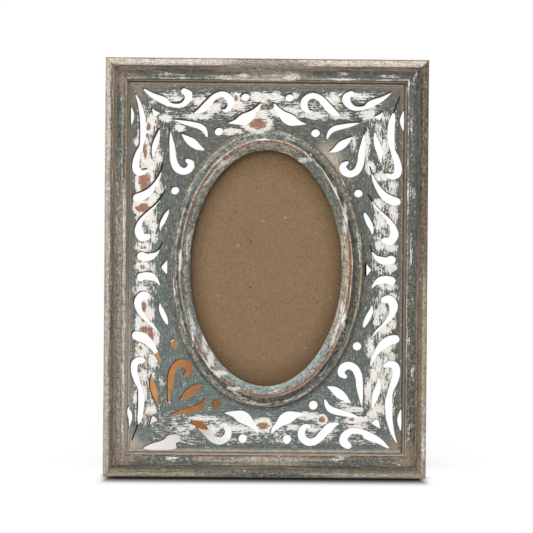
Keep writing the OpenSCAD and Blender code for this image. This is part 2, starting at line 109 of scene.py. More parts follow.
def only(kind, parts):
    """Those parts of a mesh that are of one kind."""
    return [part for part in parts if isinstance(part, kind)]


def saw(bm, at, way, clear=False):
    """Cuts a mesh along a plane; gives the edges in the cut."""
    everything = bm.verts[:] + bm.edges[:] + bm.faces[:]
    cut = bmesh.ops.bisect_plane(bm, geom=everything, dist=1e-5, plane_co=at, plane_no=way, clear_outer=clear)
    return only(bmesh.types.BMEdge, cut["geom_cut"])


def mitre(bm, length):
    """Saws both ends at 45 degrees, with lines just inside each cut for the dirt in the joint."""
    for end in (-1, 1):
        corner = Vector((end * length / 2, 0, 0))
        way = Vector((end, 1, 0)).normalized()
        bmesh.ops.holes_fill(bm, edges=saw(bm, corner, way, clear=True), sides=0)
        for depth in DIRT_LINES:
            saw(bm, corner - way * depth, way)


WEAR = 3
DIRT_AND_SHADE = 4


class Finish:
    """The paint data that a mesh carries at each point."""

    def __init__(self, bm, grain_by_face=False):
        self.place = bm.verts.layers.float_vector.new("place")
        self.grain = None if grain_by_face else bm.verts.layers.float_vector.new("grain")
        self.worn = bm.verts.layers.float_vector.new("worn")
        self.coat = bm.verts.layers.float_color.new("coat")
        self.second = bm.verts.layers.float_color.new("second")

    def put(self, vert, place, grain, strip):
        """Gives a point its place, its place along the grain and its strip of paint."""
        coat, second, share, wear, dirt = strip
        vert[self.place] = place
        if self.grain:
            vert[self.grain] = grain
        vert[self.worn] = (wear, share, dirt)
        vert[self.coat] = coat
        vert[self.second] = second


def mixed(one, other, part):
    """Two colours or places, mixed number by number."""
    return tuple(a + (b - a) * part for a, b in zip(one, other))


def mixed_strip(one, other, part):
    """Two strips of paint brushed into each other."""
    return [mixed(a, b, part) if isinstance(a, tuple) else a + (b - a) * part for a, b in zip(one, other)]


def strip_at(strips, across):
    """The strip of paint that lies at a distance across the moulding."""
    for until, *strip in strips:
        if across <= until:
            return strip
    return strips[-1][1:]


def eased_step(low, high, value):
    """Rises smoothly from 0 at the low value to 1 at the high one."""
    t = min(max((value - low) / (high - low), 0.0), 1.0)
    return t * t * (3 - 2 * t)


def wander(*at):
    """Noise that changes smoothly from place to place, about 0."""
    return noise.noise(Vector(at))


RUB_ENDS = 2.1
RUB_FULL = 0.3


def rubbed_at(places, x, y):
    """How far through the paint the rubbed places (middle, half width, half height, depth) go."""
    wear = 0.0
    for place_x, place_y, half_w, half_h, depth in places:
        if abs(x - place_x) < RUB_ENDS * half_w and abs(y - place_y) < RUB_ENDS * half_h:
            away = math.hypot((x - place_x) / half_w, (y - place_y) / half_h)
            wear = max(wear, depth * eased_step(RUB_ENDS, RUB_FULL, away))
    return wear


def give_piece(node, body, bm, materials, sharp):
    """Gives a finished mesh to the frame in the place of one of its nodes."""
    mesh = bpy.data.meshes.new(node + "_dressed")
    bm.to_mesh(mesh)
    bm.free()
    mesh.shade_smooth()
    mesh.set_sharp_from_angle(angle=math.radians(sharp))
    for material in materials:
        mesh.materials.append(material)
    piece = bpy.data.objects.new(node + "_dressed", mesh)
    scene.collection.objects.link(piece)
    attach(piece, body)
    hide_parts(node)


def hand_over(node, bm, materials, sharp=40):
    """Stands a painted piece that was drawn flat in millimetres up in its place and gives it over."""
    bmesh.ops.recalc_face_normals(bm, faces=bm.faces)
    bm.transform(STOOD)
    give_piece(node, "frame", bm, materials, sharp)


def add_node(tree, kind, settings=None, **inputs):
    """A node with its settings and inputs; an input that is a socket is linked."""
    node = tree.nodes.new("ShaderNode" + kind)
    for key, value in (settings or {}).items():
        setattr(node, key, value)
    for key, value in inputs.items():
        by_number = key[0] == "i" and key[1:].isdigit()
        socket = node.inputs[int(key[1:]) if by_number else key.replace("_", " ")]
        if isinstance(value, bpy.types.NodeSocket):
            tree.links.new(value, socket)
        else:
            socket.default_value = value
    return node


def grain_noise(vector, scale, detail=3.0, rough=0.6):
    """Noise from 0 to 1 over a place or a place along the grain."""
    inputs = {"Vector": vector, "Scale": scale, "Detail": detail, "Roughness": rough}
    return add_node(vector.id_data, "TexNoise", **inputs).outputs["Fac"]


def arithmetic(kind, one, other):
    """Works on a socket and a second socket or number."""
    return add_node(one.id_data, "Math", {"operation": kind}, i0=one, i1=other).outputs[0]


def times(one, other):
    return arithmetic("MULTIPLY", one, other)


def plus(one, other):
    return arithmetic("ADD", one, other)


def swayed(value, parts):
    """A value moved up and down by noises about their middle, each by its weight."""
    for part, weight in parts:
        value = plus(value, times(arithmetic("SUBTRACT", part, 0.5), weight))
    return value


def ramp(value, low, high, to_low=0.0, to_high=1.0):
    """The shader's own eased step between two values."""
    return add_node(
        value.id_data, "MapRange", {"interpolation_type": "SMOOTHSTEP"},
        Value=value, From_Min=low, From_Max=high, To_Min=to_low, To_Max=to_high,
    ).outputs[0]


def blend_colour(part, one, other, kind="MIX"):
    """Lays one colour over another, by a share from 0 to 1."""
    tree = next(v for v in (part, one, other) if isinstance(v, bpy.types.NodeSocket)).id_data
    settings = {"data_type": "RGBA", "blend_type": kind}
    return add_node(tree, "Mix", settings, i0=part, i6=one, i7=other).outputs[2]


def new_group(name, inputs, outputs):
    """A named node group with its sockets; gives its tree, what comes in and what goes out."""
    tree = bpy.data.node_groups.new(name, "ShaderNodeTree")
    for label, kind in inputs:
        tree.interface.new_socket(label, in_out="INPUT", socket_type="NodeSocket" + kind)
    for label, kind in outputs:
        tree.interface.new_socket(label, in_out="OUTPUT", socket_type="NodeSocket" + kind)
    return tree, tree.nodes.new("NodeGroupInput").outputs, tree.nodes.new("NodeGroupOutput").inputs


def put_out(result, **values):
    """Joins what a group has worked out to its outputs."""
    for name, value in values.items():
        value.id_data.links.new(value, result[name.replace("_", " ")])


tree, given, result = new_group(
    "Worn paint",
    [("Wear", "Float"), ("Share", "Float"), ("Dirt", "Float"), ("Coat", "Color"), ("Second", "Color"),
     ("Grain", "Vector"), ("Place", "Vector"), ("Contrast", "Float")],
    [("Colour", "Color"), ("Roughness", "Float"), ("Height", "Float")],
)
streak = grain_noise(given["Grain"], 1.0, 4.0)
hair = grain_noise(given["Grain"], 3.4, 3.0)
mottle = grain_noise(given["Place"], 0.5, 4.0, 0.75)
speck = grain_noise(given["Place"], 1.5, 3.0, 0.8)
blotch = grain_noise(given["Place"], 0.16, 2.0)
wear = swayed(given["Wear"], ((streak, 1.6), (hair, 1.2), (mottle, 0.9), (speck, 0.9), (blotch, 0.6)))
bare_chalk = ramp(wear, 0.46, 0.54)
bare_primer = ramp(wear, 1.25, 1.6)
bare_wood = ramp(wear, 2.5, 2.6)
rim = arithmetic("SUBTRACT", ramp(wear, 0.34, 0.46), bare_chalk)
brushed = swayed(given["Share"], ((streak, 1.5), (hair, 1.2), (mottle, 0.8), (speck, 0.6)))
coat = blend_colour(ramp(brushed, 0.34, 0.66), given["Coat"], given["Second"])
shade = plus(ramp(speck, 0.36, 0.64, -0.18, 0.18), ramp(mottle, 0.34, 0.66, -0.18, 0.18))
shade = plus(shade, ramp(hair, 0.36, 0.64, -0.16, 0.16))
shade = plus(times(shade, given["Contrast"]), 1.0)
coat = blend_colour(1.0, coat, shade, "MULTIPLY")
chalk = blend_colour(ramp(mottle, 0.35, 0.7), CHALK, paint(206, 201, 190))
primer = blend_colour(ramp(speck, 0.35, 0.6), paint(170, 124, 102), paint(124, 88, 74))
wood = blend_colour(hair, RAW_PINE, DARK_PINE)
colour = blend_colour(times(rim, 0.45), coat, paint(70, 66, 58))
for part, layer in ((bare_chalk, chalk), (bare_primer, primer), (bare_wood, wood)):
    colour = blend_colour(part, colour, layer)
# This channel darkens for dirt, as in the mitre joints, and for painted shade along the panel's top and right
# edges.
dirt_and_shade = times(given["Dirt"], ramp(mottle, 0.3, 0.6, 0.5, 1.1))
colour = blend_colour(dirt_and_shade, colour, paint(66, 54, 42))
height = times(bare_chalk, -0.05)
for part, weight in ((bare_primer, -0.03), (streak, 0.07), (hair, 0.04), (speck, 0.04)):
    height = plus(height, times(part, weight))
put_out(result, Colour=colour, Roughness=ramp(bare_chalk, 0.0, 1.0, 0.6, 0.75), Height=height)


def new_material(name, metallic=0.0, specular=0.5):
    """A material with its shader; gives the material, its tree and the shader node."""
    material = bpy.data.materials.new(name)
    material.use_nodes = True
    shader = material.node_tree.nodes["Principled BSDF"]
    shader.inputs["Metallic"].default_value = metallic
    shader.inputs["Specular IOR Level"].default_value = specular
    return material, material.node_tree, shader


def finish_shader(tree, shader, colour, rough, height, depth):
    """Joins colour, roughness and relief to the shader; depth is the relief's height in metres."""
    tree.links.new(colour, shader.inputs["Base Color"])
    tree.links.new(rough, shader.inputs["Roughness"])
    bump = add_node(tree, "Bump", None, Strength=1.0, Distance=depth, Height=height)
    tree.links.new(bump.outputs[0], shader.inputs["Normal"])


def carried(tree, name, output="Vector"):
    """What the mesh carries under a name."""
    return add_node(tree, "Attribute", {"attribute_name": name}).outputs[output]


def use_group(tree, name, **inputs):
    """Puts a node group to use in a material; gives its outputs."""
    return add_node(tree, "Group", {"node_tree": bpy.data.node_groups[name]}, **inputs).outputs


def worn_material(name, contrast):
    """The worn paint; the contrast is how uneven the brushed coat itself is."""
    material, tree, shader = new_material(name, specular=0.3)
    parts = add_node(tree, "SeparateXYZ", None, Vector=carried(tree, "worn")).outputs
    worn = use_group(
        tree, "Worn paint", Wear=parts[0], Share=parts[1], Dirt=parts[2], Contrast=contrast,
        Coat=carried(tree, "coat", "Color"), Second=carried(tree, "second", "Color"),
        Grain=carried(tree, "grain"), Place=carried(tree, "place"),
    )
    finish_shader(tree, shader, worn["Colour"], worn["Roughness"], worn["Height"], 0.001)
    return material


worn_paint = worn_material("worn paint", 2.0)


def strips_of(*rows):
    """Strips of paint, each with: where it ends, two colours, the second's share, any wear and dirt."""
    return [
        (end, paint(*one), paint(*two), share, *(*rest, 0.0, 0.0)[:2])
        for end, one, two, share, *rest in rows
    ]


# The strips run from the outer edge inwards. The end strips take over towards the mitres, and the
# upper ones towards the top.
BACK_STRIP = (RAW_PINE, DARK_PINE, 0.45, 0.0, 0.0)
SIDE_STRIP = (paint(150, 136, 118), paint(92, 94, 86), 0.45, 0.05, 0.05)
top_strips = strips_of(
    (1, (122, 118, 110), (92, 90, 84), 0.4), (5.4, (152, 144, 136), (96, 94, 90), 0.36, 0.08),
    (7.05, (206, 186, 164), (138, 132, 122), 0.4), (9.6, (162, 150, 134), (102, 100, 92), 0.4, 0.1),
    (12.1, (168, 158, 142), (112, 102, 86), 0.4, 0.14), (12.9, (192, 184, 174), (100, 92, 78), 0.45, 0.3),
)
top_end_strips = strips_of(
    (1, (154, 144, 130), (94, 92, 84), 0.4), (4.6, (200, 188, 174), (114, 108, 100), 0.28, 0.1),
    (5.6, (128, 118, 106), (82, 74, 64), 0.4), (7.05, (200, 180, 156), (114, 106, 96), 0.42),
    (8.8, (96, 100, 96), (76, 80, 74), 0.4, 0.02), (11.5, (118, 114, 100), (76, 80, 76), 0.5, 0.06),
    (12.3, (140, 136, 128), (84, 84, 78), 0.45, 0.3), (12.9, (104, 98, 86), (72, 70, 62), 0.42),
)
left_strips = strips_of(
    (0.9, (166, 154, 142), (102, 94, 84), 0.35), (3.3, (174, 164, 148), (106, 100, 88), 0.36, 0.08),
    (4.3, (126, 122, 108), (82, 80, 74), 0.42), (5.2, (102, 98, 88), (72, 72, 68), 0.4),
    (6.2, (158, 146, 132), (94, 86, 76), 0.4, 0.04), (7.05, (172, 162, 146), (104, 102, 94), 0.42, 0.04),
    (9.4, (118, 120, 112), (160, 154, 142), 0.45, 0.1), (10.3, (160, 152, 138), (108, 106, 96), 0.42, 0.1),
    (10.9, (136, 98, 80), (120, 112, 100), 0.5), (11.8, (190, 182, 168), (124, 118, 106), 0.45, 0.34),
    (12.9, (178, 168, 150), (122, 114, 100), 0.42, 0.1),
)
left_upper_strips = strips_of(
    (0.9, (160, 152, 138), (102, 94, 84), 0.35), (3.3, (184, 172, 158), (108, 98, 86), 0.28, 0.12),
    (4.6, (120, 108, 96), (84, 80, 70), 0.42), (6.2, (172, 154, 130), (92, 82, 70), 0.4),
    (7.05, (144, 140, 128), (94, 90, 82), 0.4, 0.0, 0.05), (9.5, (90, 92, 86), (140, 134, 122), 0.36, 0.06),
    (10.9, (144, 138, 128), (84, 86, 78), 0.45, 0.24), (12.1, (106, 100, 90), (78, 80, 72), 0.42),
    (12.9, (150, 138, 122), (90, 86, 76), 0.42, 0.05),
)
right_strips = strips_of(
    (0.6, (156, 140, 122), (100, 88, 72), 0.38), (3, (166, 154, 132), (110, 98, 80), 0.34, 0.1),
    (4.8, (118, 108, 94), (84, 76, 64), 0.42), (5.7, (128, 108, 86), (82, 74, 60), 0.42),
    (7.05, (168, 152, 130), (90, 84, 74), 0.42, 0.0, 0.05), (11.2, (72, 76, 70), (134, 126, 106), 0.34, 0.03),
    (11.8, (92, 92, 84), (70, 72, 64), 0.42), (12.3, (194, 182, 172), (118, 110, 98), 0.42, 0.2),
    (12.9, (96, 92, 82), (66, 64, 56), 0.42),
)
right_upper_strips = strips_of(
    (0.5, (160, 144, 122), (82, 72, 54), 0.42), (3.8, (88, 78, 64), (120, 106, 88), 0.42, 0.04),
    (5.3, (62, 56, 46), (90, 84, 72), 0.4), (6.3, (118, 114, 104), (76, 72, 62), 0.4),
    (7.05, (126, 122, 110), (80, 72, 64), 0.42, 0.0, 0.05), (9.8, (80, 84, 78), (116, 108, 92), 0.36, 0.03),
    (11.6, (92, 96, 90), (72, 74, 66), 0.42, 0.06), (12.3, (132, 128, 118), (76, 76, 68), 0.42, 0.3),
    (12.9, (92, 88, 78), (66, 64, 54), 0.42, 0.03),
)
bottom_strips = strips_of(
    (0.7, (72, 70, 62), (106, 100, 88), 0.4), (4.1, (82, 82, 74), (112, 108, 92), 0.4, 0.04),
    (5.4, (100, 96, 80), (72, 70, 62), 0.4), (6.7, (172, 156, 132), (104, 96, 82), 0.4),
    (7.5, (140, 136, 124), (94, 90, 80), 0.42, 0.04), (9.6, (140, 130, 112), (98, 94, 84), 0.36, 0.12),
    (12.2, (158, 148, 130), (122, 110, 94), 0.3, 0.16), (12.9, (112, 96, 80), (128, 84, 64), 0.45, 0.1),
)
bottom_end_strips = strips_of(
    (0.7, (106, 102, 92), (70, 66, 56), 0.4), (2.9, (162, 150, 128), (102, 92, 74), 0.36, 0.06),
    (4.3, (116, 108, 88), (82, 80, 70), 0.42), (5.9, (102, 100, 92), (72, 72, 66), 0.42),
    (7.05, (164, 150, 126), (96, 90, 80), 0.4), (10.9, (76, 82, 78), (104, 98, 84), 0.4),
    (12.3, (112, 106, 94), (78, 82, 76), 0.45, 0.1), (12.9, (84, 80, 70), (112, 84, 68), 0.42, 0.1, 0.1),
)
rail_rubs = [
    (14, 116.5, 5, 2.2, 0.7), (-15, 116.5, 4, 2, 0.6), (96.2, -107, 1.4, 12, 0.5), (-57, -116, 5, 1.2, 0.5),
]
CORNER_TAN = (paint(164, 138, 120), paint(120, 104, 90), 0.4, 0.1, 0.0)
rail_outline = (
    [(0, 1.0), (0, 4), (0, 8), (0, 12), (0, 15)]
    + arc_points((BEAD_R, BEAD_MIDDLE), BEAD_R, 180, 0, 20)
    + [(5.6, 16.4), (5.68, 15.75), (5.85, QUIRK_FLOOR), (6.35, QUIRK_FLOOR), (6.85, QUIRK_FLOOR)]
    + [(7.02, 15.75), (7.1, 16.3), (7.14, 16.86)] + hollow_points(RIM, TOE, HOLLOW_R, 16)[1:-1]
    + [(12.0, 13.44), (12.25, 13.42), (12.5, 13.4), (12.75, 13.36), (RAIL_FACE, 13.2), (RAIL_FACE, 11.5)]
    + [(RAIL_FACE, REBATE_H + 0.2), (RAIL_FACE - 0.2, REBATE_H), (REBATE_AT, REBATE_H), (REBATE_AT, 5)]
    + [(REBATE_AT, RAIL_BACK + 0.3), (REBATE_AT - 0.3, RAIL_BACK), (6.5, RAIL_BACK), (3, RAIL_BACK)]
    + [(0.5, RAIL_BACK), (0.15, RAIL_BACK + 0.15)]
)


def moulding_length(name, length, place, strips, other_strips, change, seed):
    """One rail or stile; from a place along it, its paint changes over between two distances."""
    change_from, change_starts, change_ends = change
    bm = bmesh.new()
    count = round(length / STATION)
    section = [(-length / 2, across, height) for across, height in rail_outline]
    sweep(bm, section, axis=(1, 0, 0), dvec=(length / count, 0, 0), angle=0, steps=count, use_merge=False)
    mitre(bm, length)
    finish = Finish(bm)
    walk = {}
    gone = 0.0
    for i, point in enumerate(rail_outline):
        gone += math.dist(point, rail_outline[i - 1]) if i else 0.0
        walk[(round(point[0], 2), round(point[1], 2))] = gone
    for vert in bm.verts:
        along, across, height = vert.co
        distance = walk.get((round(across, 2), round(height, 2)), 0.0)
        flat = place @ vert.co
        to_mitre = (length / 2 - abs(along) - across) / math.sqrt(2)
        if height < BARE_BACK or (across > REBATE_AT - 0.1 and height < BARE_REBATE):
            strip = BACK_STRIP
        elif across < SIDE_SKIN:
            strip = SIDE_STRIP
        else:
            waver = 0.5 * wander(along * 0.06, across * 0.6, seed)
            away = abs(along - change_from) + 30 * wander(along * 0.04, across * 0.5, seed + 3)
            changed = eased_step(change_starts, change_ends, away)
            strip, other = [strip_at(table, across + waver) for table in (strips, other_strips)]
            strip = mixed_strip(strip, other, changed)
            rubbed = eased_step(0.12, 0.6, wander(along * 0.055, across * 0.35, seed + 17))
            strip[WEAR] += 0.08 + (0.35 if across > QUIRK_END else 0.15) * rubbed
            strip[WEAR] = max(strip[WEAR], rubbed_at(rail_rubs, flat.x, flat.y))
            near = eased_step(11, 2, to_mitre + 3 * wander(along * 0.2, across * 0.5, seed + 7))
            if flat.x > 0 and flat.y > 0:
                near = 0.0
            strip = mixed_strip(strip, CORNER_TAN, (0.55 if 6.9 < across < 12.2 else 0.25) * near)
        if to_mitre < 0.3 and height > BARE_BACK:
            strip = [*strip[:DIRT_AND_SHADE], max(strip[DIRT_AND_SHADE], JOINT_DIRT)]
        finish.put(vert, flat, (along * 0.12 + seed, distance * 1.5, seed), strip)
        shift = UNEVENNESS * wander(along * 0.035, height * 0.1, seed * 3)
        vert.co.y += shift if across < RAIL_FACE - 0.5 else 0.0
        vert.co.z += 0.5 * shift if height > BARE_REBATE else 0.0
    bm.transform(place)
    hand_over(name, bm, [worn_paint])


half_turn = Matrix.Rotation(math.pi, 4, "Z")
base_place = Matrix.Translation((0, -FRAME_H / 2, 0))
side_place = Matrix.Translation((-FRAME_W / 2, 0, 0)) @ Matrix.Rotation(-math.pi / 2, 4, "Z")
for name, length, place, strips, other_strips, change, seed in (
    ("bottom_rail", FRAME_W, base_place, bottom_strips, bottom_end_strips, (0, 15, 40), 3.0),
    ("top_rail", FRAME_W, half_turn @ base_place, top_strips, top_end_strips, (0, 12, 34), 11.0),
    ("left_stile", FRAME_H, side_place, left_strips, left_upper_strips, (100, 130, 175), 23.0),
    ("right_stile", FRAME_H, half_turn @ side_place, right_strips, right_upper_strips, (-127, 95, 160), 37.0),
):
    moulding_length(name, length, place, strips, other_strips, change, seed)


# The fret panel.
# A board with a groove, a small bead and a rounded band planed round its edge, sawn through by
# hand with scrolls and leaves, the saw held a little askew, then painted, rubbed and left raw in the cuts.
SEEN = (85.1, 114.1)
COVERED = 3.25
PANEL_BACK = 5.3
PANEL_EDGE = 10.0
FIELD = 10.7
BAND_FOOT = 10.525
SMALL_BEAD = (2.3, 0.8)
CREST = (14.5, 11.9)
CREST_R = 47.95
OVAL_HOLE = (50.8, 76.6)
SAW_TILT = Matrix.Rotation(math.radians(-4), 3, "Y") @ Matrix.Rotation(math.radians(-6), 3, "X")
SAW_WAY = SAW_TILT @ Vector((0, 0, 1))
FACE, WALL, BACK, KERF = range(4)

# Each stroke is a list of (x, y, width) along its middle, for the upper right quarter.
corner_scroll = [
    (75.5, 108, 1), (70, 104, 3.5), (63.5, 101, 5), (59, 98.4, 3.2),
    (53, 98, 3.8), (48.8, 101, 4.8), (48.2, 104.8, 5.2), (51, 107, 4),
]
edge_sliver = [(82.9, 97.2, 0.5), (82.1, 92.4, 2.4), (82.1, 89.2, 2.3), (82.9, 84.6, 0.5)]
kinked_sliver = [
    (-82.8, -98.4, 0.5), (-82, -92.6, 2.8), (-82.6, -89, 3.2), (-83.2, -86.6, 1.8), (-82.6, -84.2, 0.5),
]
quarter_strokes = [
    [(45, 93.5, 1), (40, 95.5, 4.8), (36, 99.5, 5), (31.8, 103.8, 4.5), (27, 105.2, 4.5),
     (23, 102.6, 4.8), (22.4, 98.6, 4.4), (24.6, 95.8, 3.4), (27, 95.6, 2)],
    [(24.5, 88, 0.6), (19.5, 88.6, 3.6), (15, 90, 7.2), (11.5, 91.8, 7),
     (8, 95, 4), (5.5, 97.6, 3), (4, 100.5, 0.8)],
    [(57, 89.6, 0.6), (52, 88.2, 2.6), (46.5, 87, 3.6), (41, 85.5, 4), (38, 83, 3), (36.4, 79, 1)],
    [(52, 81, 0.6), (48.6, 78, 4), (45.4, 75.6, 5.4), (42, 73, 4), (38, 71.2, 1)],
    [(59, 82.5, 0.6), (58.4, 77, 2.6), (57.6, 71, 4), (57, 65, 4.4), (54.8, 60.2, 4.6),
     (51, 58.2, 4.8), (47.4, 59.6, 5), (46.4, 63, 4.4), (48.6, 65, 2.6)],
    [(80.4, 104.6, 0.6), (78, 99, 2.2), (76.2, 92, 3.6), (75.5, 86, 4.2), (75.4, 80, 4.4), (76.4, 73.6, 3.2),
     (78.2, 69, 4.2), (79.8, 63.5, 4.6), (79.4, 58.9, 5), (76.6, 56.9, 4.4), (73.2, 58, 2.8)],
    [(65.5, 84, 0.6), (66.4, 79.5, 3), (67.8, 74.5, 4.4), (69, 70, 3), (69.2, 65, 0.6)],
    [(64, 58.5, 0.6), (65.6, 54, 2.4), (68.2, 49.4, 3.6),
     (71.6, 45.2, 5.2), (75.4, 42.8, 6), (79, 41.8, 5.4)],
    [(64, 42, 0.6), (67.6, 37.2, 1.6), (71.4, 33.6, 2), (74.6, 30, 3),
     (77.2, 26, 4), (77.8, 21.4, 5.4), (75.4, 17.8, 5.6), (72.4, 18, 4.6)],
    [(59.6, 35, 1), (61, 31.8, 3), (63, 27.6, 3.4), (64.2, 24.6, 2.4), (64.6, 21.4, 0.6)],
    [(64.5, 11.2, 0.6), (66.6, 8.2, 2.6), (69.8, 6.2, 4.8), (73, 5.6, 5), (76.2, 6.4, 5.6)],
]
outer_scroll = quarter_strokes[5]
# Dark kerfs where the blade ran on past a tip in the upper quarters, and the outer scroll's long
# tip, no more than a kerf in two opposite quarters. They are not cut through: the face there is
# painted near-black, a painted shade for the dark inside a narrow slit.
overruns = [
    [(59.6, 86.2, 0.7), (59, 82.5, 0.9), (58.8, 80.5, 0.9)],
    [(62.7, 62.6, 0.8), (64, 58.5, 1), (64.6, 56.6, 1)],
    [(61.4, 46.2, 0.9), (64, 42, 1.1), (65.2, 40.2, 1.2)],
    [(62.9, 14.8, 0.8), (64.5, 11.2, 1), (65.4, 9.8, 1)],
]
kerf_tip = [(80.8, 105.4, 0.8), (78.9, 101, 0.9), (77, 96, 1), (76.6, 94.4, 1.2)]
quarter_dots = [(13.5, 103.6, 5.4), (29.4, 82.6, 5.4), (55.8, 46.4, 5.2)]
corner_wedge = [(70.8, 97), (68.4, 95), (64.6, 93.4), (66.4, 91.4), (69, 90.2)]
middle_wedge = [(60, 5.2), (64.4, 0), (60, -5.2)]
foot_cut = [
    (-76.4, -111.2), (-70, -107.6), (-61.6, -105.2), (-59.4, -102), (-53, -101.2),
    (-50.8, -103.6), (-51.4, -105.8), (-54.2, -106.8), (-53, -111.2),
]


def curve_point(a, b, c, d, t):
    """A point on a smooth curve from b to c."""
    return [
        0.5 * (2 * q + t * (r - p) + t * t * (2 * p - 5 * q + 4 * r - s) + t ** 3 * (3 * q - p - 3 * r + s))
        for p, q, r, s in zip(a, b, c, d)
    ]


def stroke_outline(stroke, steps=7):
    """The outline of one saw-cut stroke, with a round end where it stops wide."""
    last = len(stroke) - 1
    line = [
        curve_point(stroke[max(i - 1, 0)], stroke[i], stroke[i + 1], stroke[min(i + 2, last)], k / steps)
        for i in range(last) for k in range(steps)
    ] + [list(stroke[-1])]
    sides = ([], [])
    for i, (x, y, width) in enumerate(line):
        ahead, behind = line[min(i + 1, len(line) - 1)], line[max(i - 1, 0)]
        dx, dy = ahead[0] - behind[0], ahead[1] - behind[1]
        reach = max(width, 0.3) / 2 / math.hypot(dx, dy)
        sides[0].append((x - dy * reach, y + dx * reach))
        sides[1].append((x + dy * reach, y - dx * reach))
    end = []
    if stroke[-1][2] > 1.5:
        turn = math.degrees(math.atan2(sides[0][-1][1] - line[-1][1], sides[0][-1][0] - line[-1][0]))
        end = arc_points(line[-1][:2], stroke[-1][2] / 2, turn - 20, turn - 160, 7)
    return sides[0] + end + sides[1][::-1]


def eased_outline(points, cut=0.22, rounds=2):
    """A drawn outline with its corners taken off, as a saw blade leaves them."""
    for _ in range(rounds):
        points = [
            mixed(points[i], points[(i + 1) % len(points)], part)
            for i in range(len(points)) for part in (cut, 1 - cut)
        ]
    return points


def mirrored(points, flip_x, flip_y):
    """An outline of the upper right quarter, carried over to another quarter."""
    return [(-x if flip_x else x, -y if flip_y else y) for x, y in points]


outlines = []
kerf_outlines = []
for flip_x in (False, True):
    for flip_y in (False, True):
        quarter = [eased_outline(corner_wedge)]
        for stroke in quarter_strokes:
            kerf_tipped = stroke is outer_scroll and flip_x == flip_y
            quarter.append(stroke_outline([kerf_tip[2]] + stroke[2:] if kerf_tipped else stroke))
        blind = ([] if flip_y else overruns) + ([kerf_tip] if flip_x == flip_y else [])
        kerf_outlines += [mirrored(stroke_outline(stroke), flip_x, flip_y) for stroke in blind]
        quarter += [arc_points((x, y), width / 2, 0, 345, 23) for x, y, width in quarter_dots]
        if not (flip_x and flip_y):
            quarter += [stroke_outline(corner_scroll), stroke_outline(edge_sliver)]
        outlines += [mirrored(points, flip_x, flip_y) for points in quarter]
    outlines.append(mirrored(eased_outline(middle_wedge, 0.12), flip_x, False))
outlines += [eased_outline(foot_cut), stroke_outline(kinked_sliver)]


def inwards(x, y):
    """How far a point lies inwards from the panel's seen edge, across and up."""
    return SEEN[0] - abs(x), SEEN[1] - abs(y)


def panel_height(x, y):
    """Height of the panel's face, from its distance inwards from the seen edge."""
    inward = min(inwards(x, y))
    if inward < SMALL_BEAD[0] - SMALL_BEAD[1]:
        return PANEL_EDGE
    if inward < SMALL_BEAD[0] + SMALL_BEAD[1]:
        return BAND_FOOT + math.sqrt(max(SMALL_BEAD[1] ** 2 - (inward - SMALL_BEAD[0]) ** 2, 0))
    crown = CREST[1] - CREST_R + math.sqrt(max(CREST_R ** 2 - (inward - CREST[0]) ** 2, 0))
    return crown if inward < CREST[0] else max(crown, FIELD)


def sawn(x, y, height):
    """Where the tilted saw passes a height, for a point of the drawing."""
    point = SAW_TILT @ Vector((x, y, 0))
    point += SAW_WAY * ((height - FIELD - point.z) / SAW_WAY.z)
    return point.x, point.y


def evened(points, pitch):
    """The same closed outline with no side longer than the pitch."""
    even = []
    for i, point in enumerate(points):
        after = points[(i + 1) % len(points)]
        parts = max(1, math.ceil(math.dist(point, after) / pitch))
        even += [mixed(point, after, k / parts) for k in range(parts)]
    return even


def inside(points, x, y):
    """Whether a point lies inside a closed outline."""
    crossed = False
    for i, (bx, by) in enumerate(points):
        ax, ay = points[i - 1]
        if (ay > y) != (by > y) and x < (bx - ax) * (y - ay) / (by - ay) + ax:
            crossed = not crossed
    return crossed


def at_face(points):
    """A drawn outline as it comes out on the panel's face."""
    return evened([sawn(x, y, panel_height(*sawn(x, y, FIELD))) for x, y in points], CUT_PITCH)


CUT_PITCH = 0.9
PITCH = 1.25
ROW_SPACING = 0.866
PLAIN_FROM = 3.5
OVAL_CLEAR = 1.012
RIM_EASE = 0.12
RIM_OFFSET = 0.32
RIM_CLEAR = 0.29
LOOP_CLEAR = 0.62
BORDER_RINGS = (-COVERED, 0.3, 0.75, 1.1, 1.44, 1.5, 1.6, 1.85, 2.3, 2.75, 3.0, 3.1)
holes = [at_face(points) for points in outlines]
kerfs = [at_face(points) for points in kerf_outlines]
turns = [math.tau * i / 180 for i in range(180)]
oval_hole = [(OVAL_HOLE[0] * math.cos(t), OVAL_HOLE[1] * math.sin(t)) for t in turns]


def border_ring(inward):
    """The loop round the panel at one distance inwards from its seen edge."""
    half = [SEEN[0] - inward, SEEN[1] - inward]
    corners = [(-half[0], -half[1]), (half[0], -half[1]), (half[0], half[1]), (-half[0], half[1])]
    return evened(corners, PITCH)


def oval_share(x, y):
    """1 on the edge of the oval hole, and less inside it."""
    return math.hypot(x / OVAL_HOLE[0], y / OVAL_HOLE[1])


